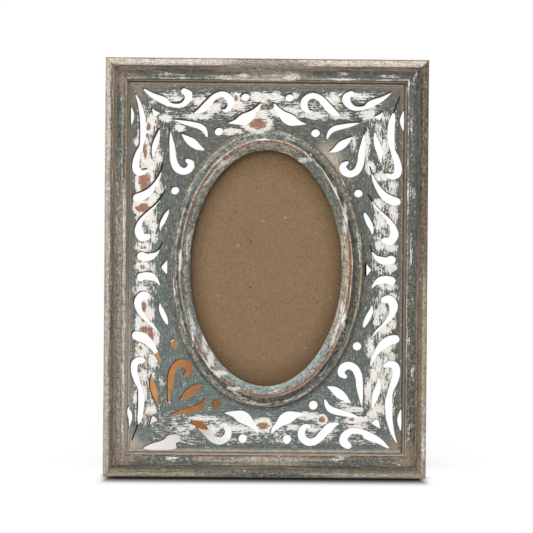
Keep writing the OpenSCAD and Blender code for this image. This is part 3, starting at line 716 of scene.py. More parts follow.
# The face is one sheet of triangles, with an edge along every loop, a ring of points close round
# each cut and an even spread of points between.
sheet_points = []
sheet_edges = []
for loop in holes + kerfs + [oval_hole] + [border_ring(inward) for inward in BORDER_RINGS]:
    first = len(sheet_points)
    sheet_points += [Vector(p) for p in loop]
    sheet_edges += [(first + i, first + (i + 1) % len(loop)) for i in range(len(loop))]
near_loops = kdtree.KDTree(len(sheet_points))
for i, point in enumerate(sheet_points):
    near_loops.insert((*point, 0), i)
near_loops.balance()
for loop in holes:
    for i, point in enumerate(loop):
        ahead, behind = loop[(i + 1) % len(loop)], loop[i - 1]
        side = Vector((behind[1] - ahead[1], ahead[0] - behind[0])).normalized() * RIM_OFFSET
        for ring_point in (Vector(point) + side, Vector(point) - side):
            if not inside(loop, *ring_point) and near_loops.find((*ring_point, 0))[2] > RIM_CLEAR:
                sheet_points.append(ring_point)
for row in range(math.ceil(2 * SEEN[1] / (PITCH * ROW_SPACING))):
    y = -SEEN[1] + row * PITCH * ROW_SPACING
    for column in range(math.ceil(2 * SEEN[0] / PITCH)):
        x = -SEEN[0] + (column + 0.5 * (row % 2)) * PITCH
        x += 0.25 * wander(x, y, 5)
        plain = min(inwards(x, y)) > PLAIN_FROM and oval_share(x, y) > OVAL_CLEAR
        if plain and near_loops.find((x, y, 0))[2] > LOOP_CLEAR:
            sheet_points.append(Vector((x, y)))
flat_points, _, triangles, *_ = delaunay_2d_cdt(sheet_points, sheet_edges, [], 0, 1e-5)


def boxed(shapes):
    """Each outline with its lowest and highest x and y before it."""
    return [(min(xs), max(xs), min(ys), max(ys), shape) for shape in shapes for xs, ys in [list(zip(*shape))]]


def within(boxes, x, y):
    """Whether a point lies inside any of the boxed outlines."""
    return any(a < x < b and c < y < d and inside(shape, x, y) for a, b, c, d, shape in boxes)


hole_boxes = boxed(holes)
kerf_boxes = boxed(kerfs)


# Patches rubbed down to the white undercoat: middle, half width and half height.
CHALK_DEPTH = 0.83
chalk_patches = [
    (-56, 103, 5.4, 1.8), (-41, 101, 4.8, 3), (-33, 97, 4.8, 3), (-18, 99, 4.8, 3), (-4, 104, 6, 3),
    (-4, 93, 5.4, 3.6), (-42, 92, 8.5, 1.8), (-53, 85, 3, 2.1), (-21, 83, 7.3, 1.8), (-70, 89, 3, 4.2),
    (-71, 62, 3.6, 4.8), (-66, 67, 2.4, 3.6), (-79, 76, 1.5, 2.4), (-65, 48, 2.4, 3.6), (-69, 42, 3.6, 3),
    (-62, 91, 3.6, 2.4), (5, 104, 4.8, 3), (17, 105, 2.4, 1.8), (15, 96, 5.4, 2.7), (6, 95, 4.8, 3),
    (29, 93, 7.9, 2.1), (40, 103, 4.2, 3), (55, 105, 4.8, 1.9), (61, 94, 4.8, 2.7), (63, 62, 2.4, 4.2),
    (70, 56, 3.6, 3), (77, 51, 3, 2.4), (68, 39, 3, 3.6), (77, 35, 2.4, 3.6), (-71, 30, 3.6, 5.4),
    (-78, 39, 2.4, 4.2), (-68, 18, 2.1, 3), (-75, 12, 4.8, 2.4), (-75, 0, 4.2, 3), (-76, -13, 4.2, 2.4),
    (-71, -28, 3, 4.8), (-77, -35, 2.4, 4.8), (-67, -44, 2.4, 3.6), (69, 29, 3.3, 5.4), (78, 34, 2.4, 3.6),
    (69, 14, 2.4, 3), (76, 13, 3.6, 2.1), (76, 1, 3.6, 3), (76, -11, 3.6, 1.9), (71, -9, 1.8, 2.4),
    (71, -24, 3, 3.6), (77, -34, 2.4, 3), (73, -37, 3.6, 2.4), (64, -48, 2.7, 5.4), (74, -49, 3, 3),
    (69, -59, 2.4, 5.4), (-74, -51, 3, 3), (-68, -57, 3, 4.2), (-74, -66, 2.1, 3.6), (-69, -66, 2.1, 2.4),
    (-74, -77, 2.1, 6), (-69, -87, 3.6, 2.4), (-79, -79, 1.2, 3.6), (-37, -92, 8.5, 1.5), (-32, -99, 4.2, 3),
    (-15, -98, 7.3, 2.1), (-2, -93, 5.4, 1.5), (-1, -99, 5.4, 1.3), (27, -90, 7.9, 2.1), (18, -97, 4.8, 1.8),
    (29, -98, 4.2, 1.5), (57, -92, 7.3, 1.8), (69, -85, 4.2, 3), (63, -74, 2.1, 6.7), (66, -65, 2.4, 4.2),
    (74, -56, 2.4, 3), (66, -54, 1.8, 4.8), (66, -89, 4, 2.5), (57, -96, 6, 1.6), (-25, -96, 4, 2),
    (77, -17, 3, 2.2), (77, -53, 2.6, 2.6), (-69, 25, 2.6, 3.2),
]
# Deeper and shallower patches, with how far through the paint they go.
patches = [(*patch, CHALK_DEPTH) for patch in chalk_patches] + [
    (-70, 101, 2.4, 1.8, 0.56), (-6, 88, 6.6, 4, 1.9), (-74, 52, 4.2, 6.8, 1.9), (-75, 36, 5, 3.1, 1.9),
    (-72, 85, 1.7, 3.1, 1.79), (-74, 71, 1.7, 6.2, 1.77), (-19, 103, 1.2, 2.8, 1.9),
    (-56, 107, 1.8, 0.7, 0.56), (44, 93, 6, 2.1, 0.74), (61, 76, 1.8, 8.5, 0.68), (68, 82, 2.1, 6, 0.71),
    (72, 73, 2.4, 6, 0.77), (53, 77, 1.8, 4.8, 0.56), (-69, 0, 2.1, 3.6, 0.63), (-74, -24, 1.7, 4, 1.9),
    (-73, -38, 4.2, 2.9, 1.9), (-75, 12, 2.4, 1.8, 1.71), (-75, 0, 2.1, 2.2, 1.66), (67, 1, 2.1, 2.4, 0.56),
    (68, -30, 2.1, 5.4, 0.77), (-76, -49, 1.5, 2, 1.74), (-1, -96, 4.2, 2.5, 1.9), (-63, -70, 1.8, 3, 0.56),
    (35, -92, 2.4, 2.2, 1.9), (48, -82, 4.8, 2.4, 0.61), (54, -86, 6, 2.1, 0.77), (53, -92, 2.1, 1.4, 1.79),
    (72, -69, 2.4, 4.8, 0.79), (41, -76, 3, 1.8, 0.56), (11, -99, 4.2, 1.5, 0.62), (-37, -46, 1.8, 6, 0.8),
    (-33, -55, 2.2, 4.5, 0.8), (-27, -64, 5, 1.6, 0.8), (-17, -73, 5, 1, 0.7), (-44, -40, 0.8, 7, 0.7),
    (48, 30, 1.6, 9, 0.66), (47, -28, 1.6, 8, 0.66), (-70, -41, 2.4, 5.6, 1.9), (-44, -97, 3, 1.8, 0.75),
    (-66, 70, 1.6, 3, 0.8), (-26, 64, 5, 1.6, 0.62), (24, 66, 5, 1.4, 0.55), (-52, 4, 1, 8, 0.55),
]


EDGE_BAND = 1.47
BEAD_BAND = 3.15
SLATE_LEFT = paint(90, 98, 94)
SLATE_RIGHT = paint(81, 85, 80)
PALE_LEFT = paint(120, 129, 126)
PALE_RIGHT = paint(114, 114, 106)
EDGE_TAN = paint(206, 196, 178)
EDGE_TAN_WORN = paint(162, 152, 134)
# Painted shade for the panel's edge beside the rails' step, where the step's shadow falls.
EDGE_SHADE = paint(104, 98, 86)
# The paint in the four corners, by whether they are at the left and at the top.
corner_paints = {
    (True, True): paint(150, 126, 108), (False, True): paint(108, 100, 90),
    (True, False): paint(194, 184, 168), (False, False): paint(162, 144, 122),
}
bead_paints = {
    "left": (paint(172, 162, 146), paint(122, 116, 104)), "right": (paint(126, 114, 94), paint(82, 78, 68)),
    "top": (paint(146, 132, 114), paint(104, 98, 86)), "bottom": (paint(168, 162, 148), paint(108, 108, 100)),
}


def panel_strip(x, y):
    """The paint at a place on the panel's face: edge, small bead, or the band and the field within."""
    inward_x, inward_y = inwards(x, y)
    inward = min(inward_x, inward_y)
    if inward_x < inward_y:
        side = "left" if x < 0 else "right"
    else:
        side = "bottom" if y < 0 else "top"
    rightness = eased_step(-110, 45, 0.8 * x + y)
    slate = mixed(SLATE_LEFT, SLATE_RIGHT, rightness)
    pale = mixed(PALE_LEFT, PALE_RIGHT, rightness)
    if inward < EDGE_BAND:
        # Painted shade: along the top and right, less along the left, not along the bottom and more towards
        # the top of the sides, the edge is painted dark and darkened through the dirt-and-shade channel,
        # where the rails' step shades it.
        near = {"left": 0.35, "bottom": 0.0}.get(side, 1.0) * eased_step(0.2, 1.2, inward)
        if side in ("left", "right"):
            near = max(near, 0.6 * eased_step(-50, 10, y + 80 * (side == "right")))
        return mixed(EDGE_TAN, EDGE_SHADE, near), mixed(EDGE_TAN_WORN, EDGE_SHADE, near), 0.4, 0.0, 0.3 * near
    if inward < BEAD_BAND:
        one, two = bead_paints[side]
        if side == "left":
            one, two = mixed(one, two, eased_step(-50, 10, y)), paint(98, 98, 90)
        return one, two, 0.42, 0.16, 0.0
    if side in ("left", "right"):
        band = 0.44 * eased_step(4.6, 6.4, inward) * eased_step(25, 14, inward)
    else:
        band = 0.38 * eased_step(4.5, 8, inward) * eased_step(27, 19, inward)
    band += 0.22 * wander(x * 0.07, y * 0.07, 4) if band > 0.1 else 0.0
    in_corner = eased_step(22, 6, abs(inward_x - inward_y))
    in_corner *= eased_step(34, 22, inward) * eased_step(3.5, 8, inward)
    quiet = eased_step(12, 22, max(inward_x, inward_y))
    wear = max(0.1, band * (0.4 + 0.6 * quiet), 0.35 * in_corner * quiet, rubbed_at(patches, x, y))
    tan = eased_step(14, 4, math.hypot(x - 37, 0.7 * (y - 62)))
    slate = mixed(slate, paint(202, 184, 166), 0.8 * tan)
    pale = mixed(pale, paint(124, 118, 106), 0.5 * tan)
    pink = eased_step(16, 4, math.hypot(inward_x - 2, inward_y - 2) + 3 * wander(x * 0.3, y * 0.3, 8))
    slate = mixed(slate, corner_paints[x < 0, y > 0], 0.8 * pink)
    pale = mixed(pale, paint(112, 102, 90), 0.8 * pink)
    return slate, pale, 0.4, wear, 0.3 * eased_step(3.8, 3.2, inward)


bm = bmesh.new()
finish = Finish(bm, grain_by_face=True)
face_grain = bm.loops.layers.float_vector.new("grain")
sheet_verts = [bm.verts.new((x, y, panel_height(x, y))) for x, y in flat_points]
for corners in triangles:
    x = sum(flat_points[i].x for i in corners) / 3
    y = sum(flat_points[i].y for i in corners) / 3
    if oval_share(x, y) > 1 and not within(hole_boxes, x, y):
        face = bm.faces.new([sheet_verts[i] for i in corners])
        face.material_index = KERF if within(kerf_boxes, x, y) else FACE
bmesh.ops.delete(bm, geom=[v for v in bm.verts if not v.link_faces], context="VERTS")
for vert in bm.verts:
    x, y, _ = vert.co
    finish.put(vert, vert.co.copy(), None, panel_strip(x, y))
rim_edges = [e for e in bm.edges if e.is_boundary]
front_rim = {v for e in rim_edges for v in e.verts}
walls = bmesh.ops.extrude_edge_only(bm, edges=rim_edges)["geom"]
for vert in only(bmesh.types.BMVert, walls):
    x, y, z = vert.co
    if min(inwards(x, y)) > -1 and oval_share(x, y) > 1.01:
        vert.co += SAW_WAY * ((PANEL_BACK - z) / SAW_WAY.z)
    vert.co.z = PANEL_BACK
    finish.put(vert, vert.co.copy(), None, BACK_STRIP)
for vert in front_rim:
    x, y, _ = vert.co
    if min(inwards(x, y)) > 0 and oval_share(x, y) > 1.01:
        vert.co.z -= RIM_EASE
back_edges = [e for e in only(bmesh.types.BMEdge, walls) if e.is_boundary]
for face in only(bmesh.types.BMFace, walls):
    face.material_index = WALL
back = bmesh.ops.triangle_fill(bm, use_beauty=True, use_dissolve=False, edges=back_edges)
for face in only(bmesh.types.BMFace, back["geom"]):
    face.material_index = BACK
for face in bm.faces:
    middle = face.calc_center_median()
    inward_x, inward_y = inwards(middle.x, middle.y)
    along_y = inward_x < inward_y
    for loop in face.loops:
        x, y, _ = loop.vert.co
        loop[face_grain] = (x * 1.1, y * 0.19, 2.0) if along_y else (x * 0.19, y * 1.1, 9.0)

# Long rings and short pores along the wood, for the cuts and the back.
tree, given, result = new_group(
    "Pine grain", [("Place", "Vector"), ("Scale", "Float")],
    [("Rings", "Float"), ("Pores", "Float"), ("Height", "Float")],
)
stretched = add_node(tree, "Mapping", None, Vector=given["Place"], Scale=(0.5, 0.03, 0.5)).outputs[0]
rings = add_node(
    tree, "TexNoise", None, Vector=stretched, Scale=given["Scale"], Detail=4.0, Distortion=0.6,
).outputs["Fac"]
fibres = add_node(tree, "Mapping", None, Vector=given["Place"], Scale=(3.0, 0.12, 3.0)).outputs[0]
pores = grain_noise(fibres, 1.6, 3.0)
relief = plus(pores, times(rings, 0.5))
put_out(result, Rings=ramp(rings, 0.38, 0.62), Pores=ramp(pores, 0.3, 0.7), Height=relief)


def pine_material(name, light, dark, soot):
    """Raw wood, with its growth rings, pores and the scorch or dirt that a saw and handling leave."""
    material, tree, shader = new_material(name, specular=0.25)
    place = carried(tree, "place")
    grain = use_group(tree, "Pine grain", Scale=1.0, Place=place)
    colour = blend_colour(grain["Rings"], light, dark)
    colour = blend_colour(times(grain["Pores"], 0.35), colour, dark)
    dirty = ramp(grain_noise(place, 0.35, 3.0), 0.45, 0.7)
    colour = blend_colour(times(dirty, soot), colour, paint(58, 42, 30))
    rough = ramp(grain["Pores"], 0.0, 1.0, 0.7, 0.85)
    finish_shader(tree, shader, colour, rough, grain["Height"], 0.00015)
    return material


sawn_wood = pine_material("saw-cut wood", paint(142, 106, 76), paint(96, 70, 50), 0.45)
raw_back = pine_material("raw back wood", paint(186, 150, 108), paint(148, 110, 74), 0.35)
# Painted shade: near-black wood for the blind kerfs, standing for the dark inside a narrow slit.
kerf_shade = pine_material("saw kerf painted shade", paint(34, 28, 24), paint(22, 18, 16), 0.45)
face_paint = worn_material("worn panel paint", 0.6)
hand_over("fret_panel", bm, [face_paint, sawn_wood, raw_back, kerf_shade], sharp=50)


# The oval moulding.
# Turned in one ring on an oval lathe and glued round the opening: a long slope up from the glass,
# a narrow crest, a hollow and a thin outer edge. Painted like the rest and rubbed through at the crest.
SIGHT = (46.1, 71.9)
OVAL_FACE = 13.3
LIP_H = 1.5
OVAL_CREST = (6.118, 5.0)
OVAL_CREST_R = 1.25
OVAL_RIM = (7.768, 4.7)
OVAL_TOE = (11.9, 1.5)
OVAL_HOLLOW_R = 4.6
OVAL_EDGE = (12.6, 1.2)
OVAL_EDGE_R = 0.7
LATHE_R = 60.0
OVAL_STEPS = 264
BROWN = (118, 86, 62)
COAL = (66, 70, 66)
crest_start = (OVAL_CREST[0] + OVAL_CREST_R * math.cos(math.radians(150)), OVAL_CREST[1] + OVAL_CREST_R / 2)
slope = [mixed((0.12, LIP_H), crest_start, i / 13) for i in range(13)]
oval_outline = (
    [(0, 0), (0, 0.7), (0, LIP_H - 0.15)] + slope
    + arc_points(OVAL_CREST, OVAL_CREST_R, 150, 0, 10)
    + [(7.5, 4.78), *hollow_points(OVAL_RIM, OVAL_TOE, OVAL_HOLLOW_R, 12)]
    + arc_points(OVAL_EDGE, OVAL_EDGE_R, 125, 0, 7) + [(OVAL_FACE, 0.6), (OVAL_FACE, 0.0)]
)
oval_left = strips_of(
    (0.4, (92, 92, 84), BROWN, 0.35, 0.0, 0.1), (2.2, (104, 109, 104), (136, 140, 134), 0.4, 0.1),
    (4.2, (112, 118, 112), (176, 170, 156), 0.42, 0.26), (5.3, (94, 100, 96), (140, 138, 128), 0.4, 0.2),
    (5.8, (140, 100, 80), (88, 88, 80), 0.45, 0.1), (6.5, (184, 176, 162), (96, 90, 80), 0.55, 0.2),
    (8.4, (78, 82, 78), (110, 106, 96), 0.36, 0.04, 0.05), (9.7, (104, 109, 104), (178, 172, 158), 0.4, 0.26),
    (12.3, (92, 97, 93), (122, 124, 117), 0.4, 0.1), (13.3, (114, 102, 86), (100, 98, 88), 0.42, 0.0, 0.1),
)
oval_right = strips_of(
    (0.4, (112, 104, 90), BROWN, 0.35, 0.0, 0.1), (2.4, (126, 118, 104), (172, 162, 146), 0.45, 0.18),
    (4.6, (130, 122, 108), (184, 172, 154), 0.45, 0.2), (5.9, (138, 84, 64), (124, 90, 74), 0.36, 0.02),
    (6.4, (196, 184, 166), (112, 98, 84), 0.5, 0.3), (8.6, (76, 80, 74), (112, 108, 96), 0.4),
    (11.7, (90, 93, 86), (122, 117, 104), 0.42, 0.04), (12.4, (178, 166, 146), (122, 112, 96), 0.45, 0.08),
    (13.3, (110, 98, 80), COAL, 0.4, 0.0, 0.15),
)
oval_bottom = strips_of(
    (2.4, (128, 138, 135), (160, 166, 160), 0.4, 0.06), (4.9, (116, 126, 124), (156, 160, 154), 0.38, 0.1),
    (6, (146, 92, 68), (118, 88, 72), 0.36, 0.02), (6.9, (170, 162, 148), (92, 88, 80), 0.55, 0.2),
    (10, (84, 88, 83), (124, 120, 108), 0.42, 0.06, 0.05),
    (12.4, (104, 106, 98), (140, 132, 118), 0.45, 0.16), (13.3, (112, 102, 88), COAL, 0.45, 0.0, 0.12),
)
oval_top = strips_of(
    (2.2, (112, 110, 98), (164, 156, 138), 0.42, 0.14), (4.7, (116, 114, 102), (178, 170, 152), 0.42, 0.2),
    (5.7, (156, 98, 74), (150, 124, 104), 0.38, 0.1), (6.6, (192, 184, 170), (112, 104, 92), 0.48, 0.36),
    (9.4, (92, 97, 93), (134, 132, 122), 0.42, 0.1), (12.3, (104, 109, 104), (160, 156, 144), 0.42, 0.2),
    (13.3, (118, 104, 86), (104, 98, 86), 0.42, 0.0, 0.05),
)
# Laid over the right and top at the upper right, where the slope is darkest.
oval_upper_right = strips_of(
    (2.6, (96, 104, 98), (118, 114, 102), 0.4, 0.02), (5, (90, 98, 92), (132, 122, 106), 0.4, 0.06),
    (5.6, (136, 96, 78), (104, 92, 80), 0.5, 0.1), (6.6, (186, 178, 164), (84, 84, 78), 0.5, 0.36),
    (8.4, (74, 78, 74), (112, 108, 98), 0.36), (10.4, (128, 122, 110), (84, 88, 84), 0.5, 0.16),
    (12.4, (104, 102, 92), (150, 138, 120), 0.45, 0.08), (13.3, (114, 102, 86), (88, 86, 78), 0.42, 0.0, 0.1),
)


def oval_strip(out, turn):
    """The four sides' paints, brushed into each other round the oval."""
    c, s = math.cos(turn), math.sin(turn)
    out += 0.6 * wander(6 * c, 6 * s, out * 0.4)
    beside = strip_at(oval_right if c > 0 else oval_left, out)
    over = strip_at(oval_top if s > 0 else oval_bottom, out)
    upper_right = eased_step(0.4, 0.8, 2 * c * s) if c > 0 else 0.0
    strip = mixed_strip(beside, over, eased_step(0.1, 0.5, s * s))
    return mixed_strip(strip, strip_at(oval_upper_right, out), upper_right)


bm = bmesh.new()
section = [(LATHE_R + out, 0, FIELD + height) for out, height in oval_outline]
sweep(bm, section, axis=(0, 0, 1), dvec=(0, 0, 0), angle=math.tau, steps=OVAL_STEPS, use_merge=True)
finish = Finish(bm)
for vert in bm.verts:
    turn = math.atan2(vert.co.y, vert.co.x)
    out = math.hypot(vert.co.x, vert.co.y) - LATHE_R
    height = vert.co.z - FIELD
    c, s = math.cos(turn), math.sin(turn)
    normal = Vector((SIGHT[1] * c, SIGHT[0] * s)).normalized()
    x = SIGHT[0] * c + normal.x * out
    y = SIGHT[1] * s + normal.y * out
    strip = oval_strip(out, turn)
    rubbed = eased_step(0.1, 0.6, wander(3 * c, 3 * s, out * 0.4))
    strip[WEAR] = max(strip[WEAR] + 0.4 * rubbed, rubbed_at(patches, x, y))
    if height < 0.1:
        strip = BACK_STRIP
    grain = (7 * c, 7 * s, (out + 0.6 * height) * 1.7)
    vert.co = (x, y, vert.co.z + 0.05 * noise.noise(Vector((x, y, 3)) * 0.05) * (height > 0.5))
    finish.put(vert, vert.co.copy(), grain, strip)
hand_over("oval_moulding", bm, [worn_paint])


# The glass.
# A clear pane dropped into the panel's rebate; thin haze from wiping is all that shows on it.
clear_glass, tree, shader = new_material("clear glass", specular=0.12)
shader.inputs["Transmission Weight"].default_value = 1.0
shader.inputs["IOR"].default_value = 1.12
shader.inputs["Base Color"].default_value = (0.98, 0.99, 0.985, 1.0)


def position(tree):
    """Where a point lies in the frame, in metres."""
    return add_node(tree, "TexCoord").outputs["Object"]


haze = ramp(grain_noise(position(tree), 60.0, 3.0), 0.45, 0.75, 0.02, 0.06)
tree.links.new(haze, shader.inputs["Roughness"])
rays = add_node(tree, "LightPath").outputs
hidden = arithmetic("MAXIMUM", rays["Is Shadow Ray"], rays["Is Diffuse Ray"])
clear = add_node(tree, "BsdfTransparent", None, Color=(0.96, 0.98, 0.97, 1.0)).outputs[0]
both = add_node(tree, "MixShader", None, Fac=hidden, i1=shader.outputs[0], i2=clear).outputs[0]
tree.links.new(both, tree.nodes["Material Output"].inputs["Surface"])


def refinish(node, material):
    """Gives its own material to a piece that keeps the mesh it came with."""
    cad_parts[node].data.materials.clear()
    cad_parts[node].data.materials.append(material)


refinish("glass_pane", clear_glass)


# The backing board.
# Pressed brown board of recycled fibre, with darker and lighter flecks all through it.
tree, given, result = new_group(
    "Fibre flecks", [("Place", "Vector"), ("Coarse", "Float")],
    [("Mottle", "Float"), ("Dark flecks", "Float"), ("Light flecks", "Float"), ("Height", "Float")],
)
mottle = grain_noise(given["Place"], given["Coarse"], 4.0, 0.85)
cells = add_node(
    tree, "TexVoronoi", {"feature": "F1"}, Vector=given["Place"], Scale=220.0, Randomness=1.0,
).outputs
pick = add_node(tree, "SeparateXYZ", None, Vector=cells["Color"]).outputs
few_dark, few_light = [arithmetic("GREATER_THAN", pick[i], most) for i, most in ((0, 0.93), (1, 0.95))]
dark = times(ramp(cells["Distance"], 0.22, 0.08), few_dark)
light = times(ramp(cells["Distance"], 0.26, 0.1), few_light)
fuzz = grain_noise(given["Place"], 2600.0, 2.0)
relief = plus(fuzz, mottle)
put_out(result, Mottle=ramp(mottle, 0.36, 0.64), Dark_flecks=dark, Light_flecks=light, Height=relief)


def fibre_material(name, light, dark, coarse, fleck_strength, specular=0.2):
    """Pressed fibre: a mottled ground with a few dark and light flecks."""
    material, tree, shader = new_material(name, specular=specular)
    flecks = use_group(tree, "Fibre flecks", Coarse=coarse, Place=position(tree))
    colour = blend_colour(flecks["Mottle"], light, dark)
    dim = times(flecks["Dark flecks"], fleck_strength)
    colour = blend_colour(dim, colour, paint(78, 58, 40))
    bright = times(flecks["Light flecks"], fleck_strength * 0.5)
    colour = blend_colour(bright, colour, paint(190, 168, 132))
    rough = ramp(flecks["Mottle"], 0.0, 1.0, 0.75, 0.88)
    finish_shader(tree, shader, colour, rough, flecks["Height"], 0.00001)
    return material


brown_board = fibre_material("brown board", paint(143, 115, 88), paint(118, 93, 68), 900.0, 0.8, 0.08)
# Round the edge of the opening the board's colour is painted darker, a painted shade for the shadow that
# falls into the recess behind the oval moulding.
tree = brown_board.node_tree
place = position(tree)
up_way = (0, math.sin(LEAN), math.cos(LEAN))
up_board = add_node(tree, "VectorMath", {"operation": "DOT_PRODUCT"}, i0=place, i1=up_way).outputs["Value"]
across_board = add_node(tree, "SeparateXYZ", None, Vector=place).outputs[0]
round_x = arithmetic("DIVIDE", across_board, SIGHT[0] / 1000)
round_y = arithmetic("DIVIDE", arithmetic("SUBTRACT", up_board, FRAME_H / 2000), SIGHT[1] / 1000)
squares = plus(times(round_x, round_x), times(round_y, round_y))
opening_shade = ramp(arithmetic("SQRT", squares, 0.0), 0.74, 1.02, 0.0, 0.52)
base = tree.nodes["Principled BSDF"].inputs["Base Color"]
tree.links.new(blend_colour(opening_shade, base.links[0].from_socket, paint(66, 48, 28)), base)
refinish("backing_board", brown_board)


# The nails, points and screws.
# Plain steel wire and sheet, zinc plated, dull and a little mottled, driven or screwed in from the back.
tree, given, result = new_group(
    "Plated metal", [("Place", "Vector"), ("Light", "Color"), ("Dark", "Color")],
    [("Colour", "Color"), ("Roughness", "Float"), ("Height", "Float")],
)
cloud = grain_noise(given["Place"], 320.0, 4.0)
scratch_way = add_node(tree, "Mapping", None, Vector=given["Place"], Scale=(400.0, 400.0, 6000.0)).outputs[0]
scratches = grain_noise(scratch_way, 1.0, 2.0)
put_out(
    result,
    Colour=blend_colour(ramp(cloud, 0.35, 0.7), given["Light"], given["Dark"]),
    Roughness=plus(times(scratches, 0.2), ramp(cloud, 0.3, 0.7, 0.2, 0.45)),
    Height=plus(scratches, cloud),
)


def metal_material(name, light, dark, metallic, relief=0.00002):
    """Plated or lacquered metal, clouded from light to dark and finely scratched."""
    material, tree, shader = new_material(name, metallic=metallic)
    metal = use_group(tree, "Plated metal", Light=light, Dark=dark, Place=position(tree))
    finish_shader(tree, shader, metal["Colour"], metal["Roughness"], metal["Height"], relief)
    return material


DOUBLES_WITHIN = 2e-6
SHARP_FROM = 40


def eased_copy(node, body, material, width):
    """A copy of a metal or board piece with its doubles merged and its sharp edges taken off."""
    bm = bmesh.new()
    bm.from_mesh(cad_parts[node].data)
    bmesh.ops.remove_doubles(bm, verts=bm.verts, dist=DOUBLES_WITHIN)
    bmesh.ops.dissolve_limit(bm, angle_limit=math.radians(1), verts=bm.verts, edges=bm.edges)
    folds = [e for e in bm.edges if len(e.link_faces) == 2]
    sharp = [e for e in folds if e.calc_face_angle() > math.radians(SHARP_FROM)]
    bmesh.ops.bevel(
        bm, geom=sharp, offset=width / 1000, offset_type="OFFSET", segments=2, profile=0.5,
        affect="EDGES", clamp_overlap=True, material=-1,
    )
    give_piece(node, body, bm, [material], sharp=30)


zinc = metal_material("zinc plated steel", paint(176, 178, 180), paint(132, 134, 136), 1.0)
refinish("corner_nails", zinc)
refinish("retaining_points", zinc)
eased_copy("button_screws", "frame", zinc, 0.12)
eased_copy("hinge_pin", "frame", zinc, 0.08)


# The four turn buttons.
# Stamped from sheet steel and dipped in black lacquer; each swivels on its screw to free the board.
black_lacquer = metal_material("black lacquer", paint(30, 30, 32), paint(44, 44, 46), 0.0, 0.00003)
for side in ("right", "upper", "left", "lower"):
    eased_copy("turn_button_" + side, "turn_button_" + side, black_lacquer, 0.2)


# The hinge.
# Two folded leaves of brassed sheet steel round a pin, screwed to the board and riveted to the strut.
dull_brass = metal_material("dull brass plate", paint(190, 164, 104), paint(148, 122, 70), 1.0)
for node, body in (
    ("hinge_board_leaf", "frame"), ("hinge_screws", "frame"),
    ("hinge_strut_leaf", "strut"), ("strut_rivets", "strut"),
):
    eased_copy(node, body, dull_brass, 0.1)


# The strut.
# Sawn from smooth orange-brown hardboard, with its edges eased, and riveted to the hinge's lower leaf.
ORANGE_BOARD = (paint(236, 172, 112), paint(220, 154, 94))
tempered_board = fibre_material("tempered hardboard", *ORANGE_BOARD, 140.0, 0.45, 0.3)
eased_copy("strut", "strut", tempered_board, 0.25)


# The table, the light and the camera.
# A white table top and a white room; a large soft light above the front, and the camera
# almost square to the frame's face, a little over a metre away.
WHITE = (0.9, 0.9, 0.9, 1.0)
FOOT_SHADOW = (-0.007, -0.02, -0.004, 0.0)
SHADOW_SIDES = (0.094, 0.104)
UNDER_STRUT = 0.06
TABLE_HALF = 6
IMAGE_WIDTH = 533
CAMERA_AT = (-0.01368, -1.21737, 0.50301)
CAMERA_FORWARD = Vector((0.010525, 0.956652, -0.291044))
CAMERA_ROLL = 0.0112
PIXELS_FOCAL = 2132.0

scene.view_settings.view_transform = "Standard"

camera_data = bpy.data.cameras.new("camera")
camera_data.sensor_width = 36
camera_data.lens = PIXELS_FOCAL * camera_data.sensor_width / IMAGE_WIDTH
camera_data.shift_x = 0.0012
camera_data.shift_y = 0.00301
camera_data.clip_start = 0.05
camera = bpy.data.objects.new("camera", camera_data)
scene.collection.objects.link(camera)
aim = CAMERA_FORWARD.to_track_quat("-Z", "Y").to_matrix().to_4x4()
camera.matrix_world = Matrix.Translation(CAMERA_AT) @ aim @ Matrix.Rotation(CAMERA_ROLL, 4, "Z")
scene.camera = camera

world = bpy.data.worlds.new("white room")
scene.world = world
world.use_nodes = True
sky = world.node_tree
sky.nodes.clear()
rays = add_node(sky, "LightPath").outputs
seen = arithmetic("MAXIMUM", rays["Is Camera Ray"], rays["Is Transmission Ray"])
strength = add_node(sky, "MapRange", None, Value=seen, To_Min=0.55, To_Max=1.0).outputs[0]
room = add_node(sky, "Background", None, Color=(1, 1, 1, 1), Strength=strength).outputs[0]
sky.links.new(room, sky.nodes.new("ShaderNodeOutputWorld").inputs["Surface"])


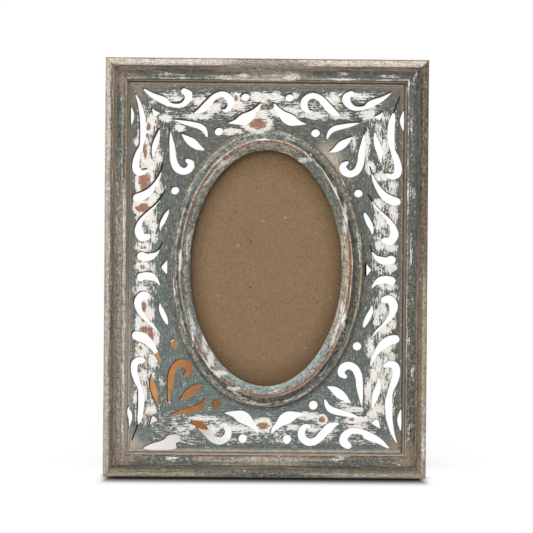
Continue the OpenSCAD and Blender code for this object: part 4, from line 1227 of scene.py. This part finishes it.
def soft_light(name, at, towards, size, watts):
    """A rectangular light, turned towards a place."""
    lamp = bpy.data.lights.new(name, "AREA")
    lamp.shape = "RECTANGLE"
    lamp.size, lamp.size_y = size
    lamp.energy = watts
    holder = bpy.data.objects.new(name, lamp)
    scene.collection.objects.link(holder)
    way = Vector(towards) - Vector(at)
    holder.matrix_world = Matrix.Translation(at) @ way.to_track_quat("-Z", "Y").to_matrix().to_4x4()


soft_light("softbox_over", at=(-0.25, -0.75, 1.45), towards=(0, 0.02, 0.1), size=(1.1, 0.8), watts=17)
soft_light("softbox_left", at=(-1.3, -0.9, 0.7), towards=(0, 0, 0.12), size=(0.8, 1.0), watts=5)

table_mesh = bpy.data.meshes.new("table")
bm = bmesh.new()
bmesh.ops.create_grid(bm, x_segments=1, y_segments=1, size=TABLE_HALF)
bm.to_mesh(table_mesh)
bm.free()
table = bpy.data.objects.new("table", table_mesh)
scene.collection.objects.link(table)
table_white, tree, shader = new_material("table white", specular=0.2)
shader.inputs["Roughness"].default_value = 0.7
# The table shows plain white to the camera, but for the shadow at the frame's foot and the shade
# under the strut. At the foot its colour is painted grey, a painted shadow; under the strut it is
# painted warm, a painted reflection of light off the orange strut.
spot = add_node(tree, "SeparateXYZ", None, Vector=position(tree)).outputs
aside = ramp(arithmetic("ABSOLUTE", spot[0], 0.0), *SHADOW_SIDES)
ahead = ramp(spot[1], *FOOT_SHADOW[:2])
behind = ramp(spot[1], *FOOT_SHADOW[2:])
bright = arithmetic("MAXIMUM", aside, arithmetic("MAXIMUM", ahead, behind))
open_air = add_node(tree, "AmbientOcclusion", {"samples": 6}, Distance=UNDER_STRUT).outputs["AO"]
under = times(ramp(open_air, 0.96, 0.55), ramp(spot[1], 0.0, 0.02))
# Painted reflection: warm where the strut shades the table; painted shadow: grey at the frame's foot.
bounce_tinted_white = blend_colour(under, WHITE, paint(240, 222, 200))
tree.links.new(blend_colour(bright, paint(130, 128, 124), bounce_tinted_white), shader.inputs["Base Color"])
bright = times(bright, ramp(under, 0.0, 1.0, 1.0, 0.4))
rays = add_node(tree, "LightPath").outputs
seen = arithmetic("MAXIMUM", rays["Is Glossy Ray"], rays["Is Transmission Ray"])
seen = arithmetic("MAXIMUM", rays["Is Camera Ray"], seen)
plain = add_node(tree, "Emission", None, Color=(1, 1, 1, 1), Strength=1.0).outputs[0]
shown = times(seen, bright)
both = add_node(tree, "MixShader", None, Fac=shown, i1=shader.outputs[0], i2=plain).outputs[0]

tree.links.new(both, tree.nodes["Material Output"].inputs["Surface"])
table_mesh.materials.append(table_white)
